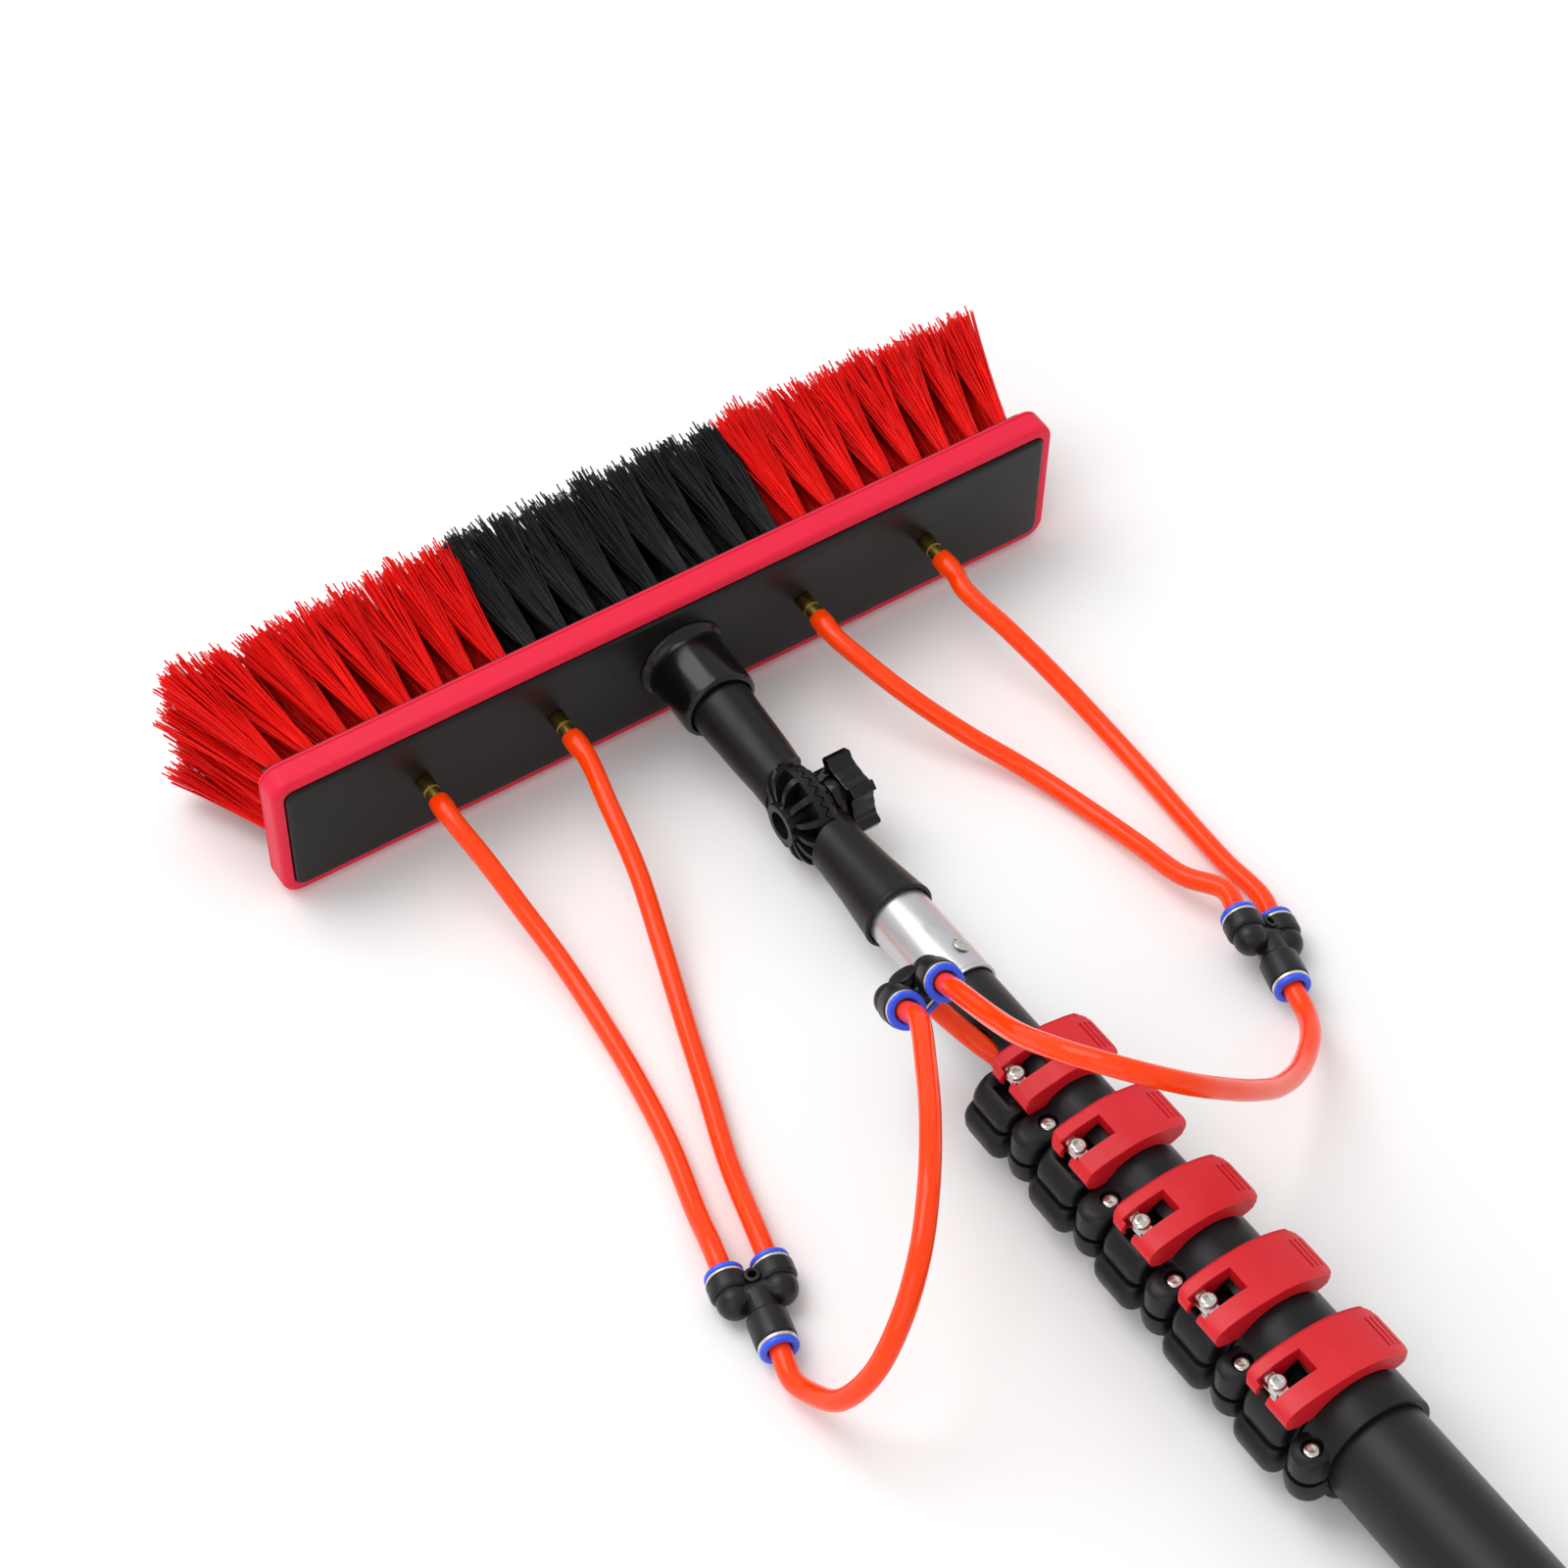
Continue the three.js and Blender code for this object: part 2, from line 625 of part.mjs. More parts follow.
// Outlines drawn in X and Z stand behind one another along Y.
const standing = (geometry, place) => geometry.rotateX(-Math.PI / 2).translate(0, place, 0);
const jetHole = (radius, depth) => jetPlaces.map((x) => rod(radius, depth, 8).translate(x, panelPlace, 0));

function brushBlock() {
  const panel = standing(raised(roundedRectangle(blockWidth, blockHeight, blockCorner), blockDepth, 3), panelPlace);
  const mouth = panelPlace - socketLength;
  const [body, flange] = [socketDiameter / 2, socketFlange / 2];
  const socket = turned(
    [
      [0, mouth], [body - 1.5, mouth], [body, mouth + 1.5], [body, panelPlace - socketFlangeDepth],
      [flange, panelPlace - socketFlangeDepth], [flange, panelPlace + 1], [0, panelPlace + 1],
    ],
    armSides,
  );
  const bore = turned(
    [
      [0, mouth - 1], [neckMouthDiameter / 2 + seatGap, mouth - 1],
      [neckMouthDiameter / 2 + seatGap, mouth + neckSpigot + seatGap], [0, mouth + neckSpigot + seatGap],
    ],
    armSides,
  );
  return cut(join(panel, socket), bore, ...jetHole(jetRadius + pinGap, 4 * blockDepth));
}

function blockBumper() {
  const rim = roundedRectangle(blockWidth + 2 * bumperWall, blockHeight + 2 * bumperWall, bumperCorner);
  const place = panelPlace + bumperSetback;
  const outside = standing(raised(rim, bumperDepth, 3, bumperChamfer), place);
  const opening = roundedRectangle(blockWidth + 2 * seatGap, blockHeight + 2 * seatGap, blockCorner + seatGap);
  return cut(outside, standing(raised(opening, 3 * bumperDepth, 3), place - bumperDepth));
}

function waterJet() {
  const tail = jetRadius - 0.6;
  const front = panelPlace + blockDepth;
  const outline = [[0, panelPlace - jetTail], [tail, panelPlace - jetTail], [tail, panelPlace - jetCollarDepth - seatGap]];
  outline.push([jetCollarRadius, panelPlace - jetCollarDepth - seatGap], [jetCollarRadius, panelPlace - seatGap]);
  outline.push([jetRadius, panelPlace - seatGap], [jetRadius, front], [0, front]);
  return turned(outline, 10);
}

piece("brush_block", brushBlock(), finishes.panel, brush);
piece("block_bumper", blockBumper(), finishes.bumper, brush);
jetPlaces.forEach((x, i) => piece(`water_jet_${i + 1}`, plain(solid(waterJet())), finishes.brass, brush).position.setX(x));

// Bristles: tufts of splayed strands on a slice of backing

// A repeatable scatter between -1 and 1.
const scatter = (seed) => 2 * ((Math.sin(seed * 12.9898) * 43758.5453) % 1 + 1) % 2 - 1;

function strand(foot, tip) {
  const axis = tip.clone().sub(foot);
  const body = new THREE.CylinderGeometry(0, strandBase, axis.length(), strandSides);
  body.applyQuaternion(new THREE.Quaternion().setFromUnitVectors(new THREE.Vector3(0, 1, 0), axis.clone().normalize()));
  return body.translate(...foot.add(tip).multiplyScalar(0.5));
}

function bristleZone(firstColumn, columns) {
  const tuftCount = tuftColumns.reduce((a, b) => a + b);
  const back = panelPlace + blockDepth + seatGap;
  const front = back + backingDepth;
  const columnPlace = (column) => (column - (tuftCount - 1) / 2) * tuftPitch;
  const rowPlace = (row) => (row - (tuftRows - 1) / 2) * tuftPitch;
  const edges = [columnPlace(firstColumn) - tuftPitch / 2, columnPlace(firstColumn + columns - 1) + tuftPitch / 2];
  const height = blockHeight / 2 - backingInset;
  const backing = block([edges[0] + seatGap / 2, edges[1] - seatGap / 2], [back, front], [-height, height]);
  const strands = [];
  for (let column = firstColumn; column < firstColumn + columns; column++) {
    for (let row = 0; row < tuftRows; row++) {
      const [x, z] = [columnPlace(column), rowPlace(row)];
      const lean = [endSplay * ((2 * x) / blockWidth) ** 3, sideSplay * ((2 * z) / blockHeight) ** 3];
      for (let k = 0; k < tuftStrands; k++) {
        const seed = 12 * column + 3 * row + k;
        const turn = (2 * Math.PI * (k + scatter(column + row) / 4)) / tuftStrands;
        const [c, s] = [Math.cos(turn), Math.sin(turn)];
        const foot = new THREE.Vector3(x + strandRing * c, front - backingDepth / 2, z + strandRing * s);
        const length = bristleLength + raggedness * scatter(seed);
        strands.push(strand(foot, new THREE.Vector3(x + tuftSpread * c + lean[0], back + length, z + tuftSpread * s + lean[1])));
      }
    }
  }
  const jetSpaces = jetPlaces.map((x) => rod(jetRadius + pinGap, blockDepth, 8).translate(x, front, 0));
  return cut(join(backing, ...strands), ...jetSpaces);
}

piece("bristles_left", bristleZone(0, tuftColumns[0]), finishes.redBristle, brush);
piece("bristles_middle", bristleZone(tuftColumns[0], tuftColumns[1]), finishes.blackBristle, brush);
piece("bristles_right", bristleZone(tuftColumns[0] + tuftColumns[1], tuftColumns[2]), finishes.redBristle, brush);

// Push-in fittings: two branches and a single end joined by round bosses.
// A fitting's own frame has its middle at the origin and its branches' faces toward +Y.
function socketBarrel(reach, back) {
  const groove = reach - colletDepth;
  return turned(
    [
      [0, back], [barrelOuter, back], [barrelOuter, groove - 1.2], [barrelOuter - 2, groove - 1.2],
      [barrelOuter - 2, groove], [colletRadius, groove], [colletRadius, reach], [0, reach],
    ],
    fittingSides,
  );
}

const yAxis = new THREE.Vector3(0, 1, 0);
const turnTo = (way) => new THREE.Quaternion().setFromUnitVectors(yAxis, way);
const branchSides = [-branchSpacing / 2, branchSpacing / 2];

function hoseFitting(branchReach, stemWay, stemReach) {
  const branches = branchSides.map((x) => socketBarrel(branchReach, 0).translate(x, 0, 0));
  const bosses = branchSides.map((x) => new THREE.SphereGeometry(barrelOuter, fittingSides, 6).translate(x, 0, 0));
  const bridge = rodAcross(barrelOuter - 1.6, branchSpacing, fittingSides);
  const stem = join(socketBarrel(stemReach, stemReach - 14), rod(barrelOuter - 2, stemReach - 4, fittingSides).translate(0, stemReach / 2 - 2, 0));
  return join(...branches, ...bosses, bridge, stem.applyQuaternion(turnTo(stemWay)));
}

// Puts a fitting in the head's frame and gives the places of its three faces and the ways out of them.
function placeFitting(name, { middle, way, roll, branchReach, stemWay, stemReach }) {
  const branchWay = vector(way).normalize();
  const turn = turnTo(branchWay);
  turn.premultiply(new THREE.Quaternion().setFromAxisAngle(branchWay, degrees(roll)));
  const stemOut = vector(stemWay ?? way.map((part) => -part)).normalize();
  const ownStemWay = stemOut.clone().applyQuaternion(turn.clone().invert());
  const mesh = piece(name, hoseFitting(branchReach, ownStemWay, stemReach), finishes.fitting, head);
  mesh.position.set(...middle);
  mesh.quaternion.copy(turn);
  const branches = branchSides.map((x) => ({
    place: new THREE.Vector3(x, branchReach + seatGap, 0).applyQuaternion(turn).add(mesh.position),
    way: branchWay,
  }));
  const stem = { place: stemOut.clone().multiplyScalar(stemReach + seatGap).add(mesh.position), way: stemOut };
  return [...branches, stem];
}

const lying = floorLevel + barrelOuter;
const straightFitting = { branchReach: 13, stemReach: 25 };
const left = placeFitting("hose_fitting_left", {
  middle: [-131, -169, lying],
  way: [0.24, 0.97, 0],
  roll: 0,
  ...straightFitting,
});
const right = placeFitting("hose_fitting_right", {
  middle: [112.7, -144.5, lying + 4.3],
  way: [0.27, 0.96, 0],
  roll: 30,
  ...straightFitting,
});
const centre = placeFitting("hose_fitting_centre", {
  middle: [-27, -112, 25],
  way: [-0.16, -0.8, 0.58],
  roll: -16,
  branchReach: 18.5,
  stemWay: [0.46, -0.55, -0.69],
  stemReach: 10,
});

// Free hoses, in the frame of the tilt hinge. Each end is straight and square to its face.

const lead = 12;

function jetFace(index) {
  const back = panelPlace - jetTail - seatGap;
  const tail = new THREE.Vector3(jetPlaces[index], back, 0);
  return { place: tail.applyQuaternion(brush.quaternion), way: yAxis.clone().negate().applyQuaternion(brush.quaternion) };
}

function between(start, route, end) {
  const [first, last] = [start, end].map(({ place, way }) => [place, place.clone().addScaledVector(way, lead)]);
  const points = [...first.map((point) => point.toArray()), ...route, ...last.map((point) => point.toArray()).reverse()];
  const free = smooth(points, hoseStep).filter(
    (point) => Math.min(point.distanceTo(first[0]), point.distanceTo(last[0])) > 1.5 * lead,
  );
  return [...first, ...free, last[1], last[0]];
}

const freeHose = (name, line, group) => piece(name, hose(line, hoseRadius, hoseSides), finishes.hose, group);

const feedRoutes = [
  [
    [-115, 50, 1], [-112.5, 25, -8], [-111, 0, -14.5], [-112, -30, -19], [-115.5, -62, -19.6],
    [-121, -94, -19.6], [-129, -125, -19],
  ],
  [[-62.5, 45, 5], [-68, 14, -4], [-76, -15, -13], [-86, -47, -18.5], [-97, -81, -19], [-108, -114, -19]],
  [[60, 58, 5], [68, 33, -2], [80, 8, -11], [92, -17, -17], [100, -45, -19], [104, -75, -16], [106, -100, -12]],
  [
    [116, 62, 6.5], [121, 36, 0], [126.5, 10, -9], [130, -17, -16.5], [130.5, -45, -19.5],
    [129, -72, -19.5], [127, -100, -18],
  ],
];
const feedEnds = [left[0], left[1], right[0], right[1]];
feedRoutes.forEach((route, i) => freeHose(`feed_hose_${i + 1}`, between(jetFace(i), route, feedEnds[i]), head));

const leftLoop = [
  [-139, -216, -12], [-136, -230, -1], [-127, -238, 18], [-114, -236, 38], [-100, -226, 51], [-85, -209, 57],
  [-68, -185, 55], [-54, -162, 49],
];
const rightLoop = [
  [94, -193, -6], [77, -208, 4], [56, -221, 22], [38, -229, 41], [20, -234, 60], [1, -235, 78],
  [-17, -226, 89], [-28, -209, 88], [-31, -188, 77], [-28, -166, 62],
];
freeHose("loop_hose_left", between(left[2], leftLoop, centre[0]), head);
freeHose("loop_hose_right", between(right[2], rightLoop, centre[1]), head);

// The supply runs through the top section's wall and down the pole. It meets the tail inside the lowest section.
const supplyRoute = [
  [-14.5, -128.5, 6.5], [-10, -139, 2.5], [-5.5, -149, 0.5], [-2.5, -160, 0], [-0.5, -172, 0], [0, -186, 0],
];
const [supplyFace] = [centre[2]];
const supplyStart = supplyFace.place.clone().addScaledVector(supplyFace.way, hoseRadius);
const supplyLine = [supplyFace.place, ...smooth([supplyStart.toArray(), ...supplyRoute], hoseStep)];
supplyLine.push(new THREE.Vector3(0, innerHoseFoot - hingePlace, 0));
freeHose("supply_hose", supplyLine, head);

// The tail runs in the frame of the pole, to where the coil begins.
const coilStart = [coilCentre[0] - 2 * hoseRadius, coilCentre[1] - coilOuterRadius, floorLevel + hoseRadius];
const tailRoute = [
  [0, innerHoseFoot - seatGap, 0], [0, 112, 0], [1.5, 100, 0], [6, 87, 0], [13, 75.5, 0], [21, 66, -1],
  [32, 55.5, -4], [46, 46, -9.5], [62, 38.5, -15], [80, 33.8, -19], [94, 32.1, -20],
  [coilStart[0] - seatGap, coilStart[1], coilStart[2]],
];
const tailLine = smooth(tailRoute, hoseStep);
freeHose("tail_hose", tailLine, pole);

// Pole sections, guide bushes and butt cap. The hose passes through the first and the last section's wall.

const port = (line) => hose(line, hoseRadius + portClearance, hoseSides);

for (let section = 1; section <= sectionCount; section++) {
  let tube = sectionTube(section);
  if (section === 1) tube = cut(tube, port(tailLine));
  if (section === sectionCount) tube = cut(tube, port(supplyLine).translate(0, hingePlace, 0));
  piece(`section_tube_${section}`, plain(solid(tube)), finishes.tube);
  if (section > 1) piece(`guide_bush_${section}`, plain(solid(guideBush(section))), finishes.blackPlastic);
}
piece("butt_cap", plain(solid(buttCap())), finishes.blackPlastic);

// Stored hose: layers of flat spirals that run in and out by turns, then a run-out to the connector

const coilTurns = coilLayers * coilTurnsPerLayer + 0.25;

// Where the coil's centre line is after a number of turns. It changes layer in the half turn round each reversal.
function coilPoint(turns) {
  const cycle = 2 * coilTurnsPerLayer;
  const inward = turns > coilTurns - 0.25 ? coilTurns - 0.25 - turns : coilTurnsPerLayer - Math.abs((turns % cycle) - coilTurnsPerLayer);
  const radius = coilOuterRadius - coilPitch * inward;
  const angle = 2 * Math.PI * (turns - 0.25);
  let layer = 0;
  for (let reversal = 1; reversal < coilLayers; reversal++) {
    layer += THREE.MathUtils.clamp(2 * (turns - reversal * coilTurnsPerLayer) + 0.5, 0, 1);
  }
  return new THREE.Vector3(
    coilCentre[0] + radius * Math.cos(angle),
    coilCentre[1] + radius * Math.sin(angle),
    floorLevel + hoseRadius + layer * coilPitch,
  );
}

const coilLine = [vector(coilStart)];
for (let i = 0; i <= coilTurns * coilSteps; i++) coilLine.push(coilPoint(i / coilSteps));
const coilTop = coilLine.at(-1).z;
const connectorHeight = floorLevel + connectorRadius;
const runOut = [
  [coilLine.at(-1).x - coilCentre[0], 0, coilTop], [86.8, 22, coilTop - 1], [87.4, 36, 0.5], [88, 50, -6],
  [88.5, 64, -11.5], [88.8, 78, connectorHeight + 0.2], [89, 90, connectorHeight],
].map(([x, y, z]) => [coilCentre[0] + x, coilCentre[1] + y, z]);
coilLine.push(...smooth(runOut, hoseStep).slice(1));
piece("hose_coil", hose(coilLine, hoseRadius, coilSides), finishes.hose);

// The least distance between stretches of the coil that lie side by side, less a hose's width.
let leastGap = Infinity;
for (let i = 0; i < coilLine.length; i++) {
  for (let k = i + coilSteps / 2; k < coilLine.length; k++) {
    const stretch = new THREE.Line3(coilLine[k - 1], coilLine[k]);
    const nearest = stretch.closestPointToPoint(coilLine[i], true, new THREE.Vector3());
    leastGap = Math.min(leastGap, nearest.distanceTo(coilLine[i]) - 2 * hoseRadius);
  }
}
console.log(`least gap between turns of the coil: ${leastGap.toFixed(2)} mm`);

function hoseConnector() {
  const [outside, ring] = [connectorRadius, connectorRingRadius];
  const step = connectorLength / 6;
  return turned(
    [
      [0, 0], [ring, 0], [ring, 2 * step], [outside, 2 * step], [outside, 3 * step], [ring, 3 * step],
      [ring, 4 * step], [outside, 4 * step], [outside, connectorLength], [connectorBore, connectorLength],
      [connectorBore, connectorLength - connectorBoreDepth], [0, connectorLength - connectorBoreDepth],
    ],
    connectorSides,
  );
}

const connector = piece("hose_connector", plain(solid(hoseConnector())), finishes.fitting);
connector.position.set(runOut.at(-1)[0], runOut.at(-1)[1] + seatGap, connectorHeight);

export default pole;
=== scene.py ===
import json
from math import asin, atan2, cos, degrees, pi, radians, sin, sqrt

import bmesh
import bpy
from mathutils import Matrix, Quaternion, Vector


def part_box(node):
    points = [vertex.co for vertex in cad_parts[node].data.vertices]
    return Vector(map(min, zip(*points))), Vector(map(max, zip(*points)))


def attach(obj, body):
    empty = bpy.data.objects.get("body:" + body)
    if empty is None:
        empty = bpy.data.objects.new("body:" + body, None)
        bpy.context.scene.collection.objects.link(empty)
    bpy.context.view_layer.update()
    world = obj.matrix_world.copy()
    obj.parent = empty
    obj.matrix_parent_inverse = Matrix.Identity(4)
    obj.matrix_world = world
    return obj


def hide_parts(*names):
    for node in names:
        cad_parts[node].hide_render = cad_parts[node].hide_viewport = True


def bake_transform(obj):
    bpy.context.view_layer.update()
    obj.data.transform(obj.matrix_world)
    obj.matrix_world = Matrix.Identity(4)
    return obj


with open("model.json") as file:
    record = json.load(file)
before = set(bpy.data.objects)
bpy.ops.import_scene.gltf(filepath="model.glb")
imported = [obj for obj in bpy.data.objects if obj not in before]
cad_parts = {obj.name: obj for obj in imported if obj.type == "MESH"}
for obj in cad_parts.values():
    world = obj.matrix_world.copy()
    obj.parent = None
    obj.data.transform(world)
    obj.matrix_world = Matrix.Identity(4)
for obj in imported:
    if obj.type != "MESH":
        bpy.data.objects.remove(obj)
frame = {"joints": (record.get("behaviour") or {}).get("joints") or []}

scene = bpy.context.scene
for leftover in ("Cube", "Light", "Camera"):
    if leftover in bpy.data.objects:
        bpy.data.objects.remove(bpy.data.objects[leftover])
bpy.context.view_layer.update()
joints = {joint["name"]: joint for joint in frame["joints"]}
print("frame loaded")

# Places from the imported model. Shapes below are drawn in millimetres and become metres in newPiece.
hinge = Vector(joints["brush_tilt"]["pos_m"]) * 1000
clampPlaces = {clamp: Vector(joints[f"lever_{clamp}_hinge"]["pos_m"]) * 1000 for clamp in range(1, 6)}
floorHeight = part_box("butt_cap")[0].z * 1000
tubeRadii = {section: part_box(f"section_tube_{section}")[1].x * 1000 for section in range(1, 7)}
restTilt = 6  # degrees the brush leans back at rest
blockBack = 91.4  # back of the brush block, beyond the hinge
headFrame = Matrix.Translation(hinge)
brushFrame = headFrame @ Matrix.Rotation(radians(restTilt), 4, "X")


# Camera

camera = {
    "place": (-494.0, -823.7, 1057.6),  # mm from the tilt hinge
    "forward": (0.3439, 0.5845, -0.7349),
    "up": (0.4196, 0.6045, 0.6771),
    "lens": 85,
}
cameraData = bpy.data.cameras.new("camera")
cameraData.lens = camera["lens"]
cameraData.sensor_width = 36
cameraData.clip_end = 20
cameraObject = bpy.data.objects.new("camera", cameraData)
scene.collection.objects.link(cameraObject)
backWay = -Vector(camera["forward"]).normalized()
rightWay = Vector(camera["up"]).cross(backWay).normalized()
cameraTurn = Matrix((rightWay, backWay.cross(rightWay), backWay)).transposed().to_4x4()
cameraObject.matrix_world = Matrix.Translation((hinge + Vector(camera["place"])) / 1000) @ cameraTurn
scene.camera = cameraObject


# Materials

def linear(hexColour):
    parts = [int(hexColour[i:i + 2], 16) / 255 for i in (1, 3, 5)]
    return [part / 12.92 if part <= 0.04045 else ((part + 0.055) / 1.055) ** 2.4 for part in parts] + [1]


# An input is a value, a socket, or a node, which stands for its first output.
def addNode(tree, kind, settings=None, inputs=None):
    node = tree.nodes.new(kind)
    for name, value in (settings or {}).items():
        setattr(node, name, value)
    for name, value in (inputs or {}).items():
        if isinstance(value, bpy.types.Node):
            value = value.outputs[0]
        if isinstance(value, bpy.types.NodeSocket):
            tree.links.new(value, node.inputs[name])
        else:
            node.inputs[name].default_value = value
    return node


# colours: two shades that drift into each other over patch mm.
# grain: size in mm of the moulded, cast or drawn texture, and grainDepth its height in mm.
# shade: a strand attribute that mixes the two colours instead of the drift.
def makeFinish(name, look):
    material = bpy.data.materials.new(name)
    material.use_nodes = True
    tree = material.node_tree
    shader = tree.nodes["Principled BSDF"]
    for socket, value in look.get("shader", {}).items():
        shader.inputs[socket].default_value = value
    place = addNode(tree, "ShaderNodeTexCoord").outputs["Object"]
    stretch = look.get("stretch", (1, 1, 1))
    drawn = addNode(tree, "ShaderNodeMapping", inputs={"Vector": place, "Scale": stretch})
    grain = addNode(tree, "ShaderNodeTexNoise", inputs={
        "Vector": drawn, "Scale": 1000 / look["grain"], "Detail": 3.0, "Roughness": 0.6,
    })
    drift = addNode(tree, "ShaderNodeTexNoise", inputs={
        "Vector": drawn, "Scale": 1000 / look["patch"], "Detail": 4.0, "Roughness": 0.55,
    })
    shade = drift
    if "shade" in look:
        shade = addNode(tree, "ShaderNodeAttribute", {"attribute_name": look["shade"]}).outputs["Fac"]
    first, second = [linear(hexColour) for hexColour in look["colours"]]
    colour = addNode(tree, "ShaderNodeMix", {"data_type": "RGBA"}, {0: shade, 6: first, 7: second})
    gloss = addNode(tree, "ShaderNodeMapRange", inputs={
        "Value": drift, "From Min": 0.3, "From Max": 0.7,
        "To Min": look["roughness"] * 0.85, "To Max": min(1, look["roughness"] * 1.15),
    })
    bump = addNode(tree, "ShaderNodeBump", inputs={"Height": grain, "Distance": look["grainDepth"] / 1000})
    tree.links.new(colour.outputs[2], shader.inputs["Base Color"])
    tree.links.new(gloss.outputs[0], shader.inputs["Roughness"])
    tree.links.new(bump.outputs[0], shader.inputs["Normal"])
    return material


finishes = {
    # Black anodised drawn tube: nearly matt, with faint lines along its length.
    "blackAnodisedTube": {
        "colours": ("#141417", "#1D1D21"), "roughness": 0.42, "grain": 1.2, "grainDepth": 0.02, "patch": 30,
        "stretch": (1, 0.05, 1), "shader": {"Metallic": 0.2, "Specular IOR Level": 0.35},
    },
    # Glass-filled nylon from a spark-eroded mould: dark, with a fine matt grain.
    "blackNylon": {
        "colours": ("#0B0B0D", "#121215"), "roughness": 0.4, "grain": 0.9, "grainDepth": 0.03, "patch": 14,
        "shader": {"Specular IOR Level": 0.28},
    },
    # ABS from a polished mould: clean soft reflections.
    "blackAbs": {
        "colours": ("#050506", "#0A0A0B"), "roughness": 0.2, "grain": 2.5, "grainDepth": 0.012, "patch": 20,
        "shader": {"Specular IOR Level": 0.35},
    },
    # Flat ABS panel: a soft sheen with slight clouding from the mould's flow.
    "panelAbs": {
        "colours": ("#0F0D0D", "#151312"), "roughness": 0.34, "grain": 0.8, "grainDepth": 0.02, "patch": 45,
        "shader": {"Specular IOR Level": 0.25},
    },
    # Red nylon for the levers: satin, a little darker where the melt front met.
    "redNylon": {
        "colours": ("#C81420", "#D61F2B"), "roughness": 0.4, "grain": 0.8, "grainDepth": 0.025, "patch": 16,
        "shader": {
            "Specular IOR Level": 0.35, "Subsurface Weight": 0.05, "Subsurface Radius": (1.0, 0.2, 0.1),
            "Subsurface Scale": 0.001,
        },
    },
    # Soft thermoplastic rubber: even colour with a dull skin.
    "redRubber": {
        "colours": ("#D91536", "#E31D40"), "roughness": 0.55, "grain": 1.1, "grainDepth": 0.03, "patch": 25,
        "shader": {"Specular IOR Level": 0.25, "Sheen Weight": 0.04, "Sheen Roughness": 0.4},
    },
    # Bright nickel plate on turned steel.
    "nickelPlate": {
        "colours": ("#C9C6C2", "#D8D5D0"), "roughness": 0.2, "grain": 1.0, "grainDepth": 0.001, "patch": 6,
        "shader": {"Metallic": 1.0},
    },
    # Blackened steel: dark oxide with a low metallic sheen.
    "blackenedSteel": {
        "colours": ("#0C0C0E", "#18181B"), "roughness": 0.35, "grain": 1.0, "grainDepth": 0.01, "patch": 5,
        "shader": {"Metallic": 0.6},
    },
    # Satin drawn aluminium: broad soft highlights, with fine lines along the sleeve.
    "satinAluminium": {
        "colours": ("#C4C4C8", "#D4D4D6"), "roughness": 0.34, "grain": 0.7, "grainDepth": 0.012, "patch": 12,
        "stretch": (1, 0.04, 1), "shader": {"Metallic": 0.9, "Anisotropic": 0.4},
    },
    # Brass that has dulled: brown-gold, with darker spots.
    "dullBrass": {
        "colours": ("#6E5A2A", "#9A8040"), "roughness": 0.36, "grain": 1.5, "grainDepth": 0.02, "patch": 4,
        "shader": {"Metallic": 1.0},
    },
    # Glass-filled PBT of the push-in fittings: satin charcoal.
    "charcoalPbt": {
        "colours": ("#101012", "#18181B"), "roughness": 0.38, "grain": 0.7, "grainDepth": 0.03, "patch": 9,
        "shader": {"Specular IOR Level": 0.35},
    },
    # Blue acetal release collars: smooth and slightly waxy.
    "blueAcetal": {
        "colours": ("#2450E4", "#2F60F2"), "roughness": 0.3, "grain": 1.5, "grainDepth": 0.01, "patch": 8,
        "shader": {"Subsurface Weight": 0.08, "Subsurface Scale": 0.001},
    },
    # Pale nickel-plated ring behind each release collar.
    "paleNickel": {
        "colours": ("#DCD3C2", "#EAE3D6"), "roughness": 0.3, "grain": 1.0, "grainDepth": 0.008, "patch": 6,
        "shader": {"Metallic": 0.7},
    },
    # Polyurethane hose: glossy, clear red-orange that light goes a little way into.
    "redPolyurethane": {
        "colours": ("#FF3A00", "#FF4806"), "roughness": 0.18, "grain": 6.0, "grainDepth": 0.02, "patch": 20,
        "shader": {
            "Specular IOR Level": 0.22, "Subsurface Weight": 0.35, "Subsurface Radius": (1.0, 0.25, 0.1),
            "Subsurface Scale": 0.003, "Coat Weight": 0.12, "Coat Roughness": 0.05,
        },
    },
    # Red polypropylene strand: each one its own red, so that a tuft reads as many hairs.
    "redBristle": {
        "colours": ("#DC0200", "#FF1005"), "roughness": 0.34, "grain": 3.0, "grainDepth": 0.004, "patch": 20,
        "shade": "strandShade", "shader": {"Specular IOR Level": 0.15},
    },
    # Black polypropylene strand: deep black to charcoal, with thin highlights.
    "blackBristle": {
        "colours": ("#040405", "#161618"), "roughness": 0.34, "grain": 3.0, "grainDepth": 0.004, "patch": 20,
        "shade": "strandShade", "shader": {"Specular IOR Level": 0.25},
    },
}
materials = {name: makeFinish(name, look) for name, look in finishes.items()}
print("finishes made")


# Shapes. Each returns a bmesh in millimetres.

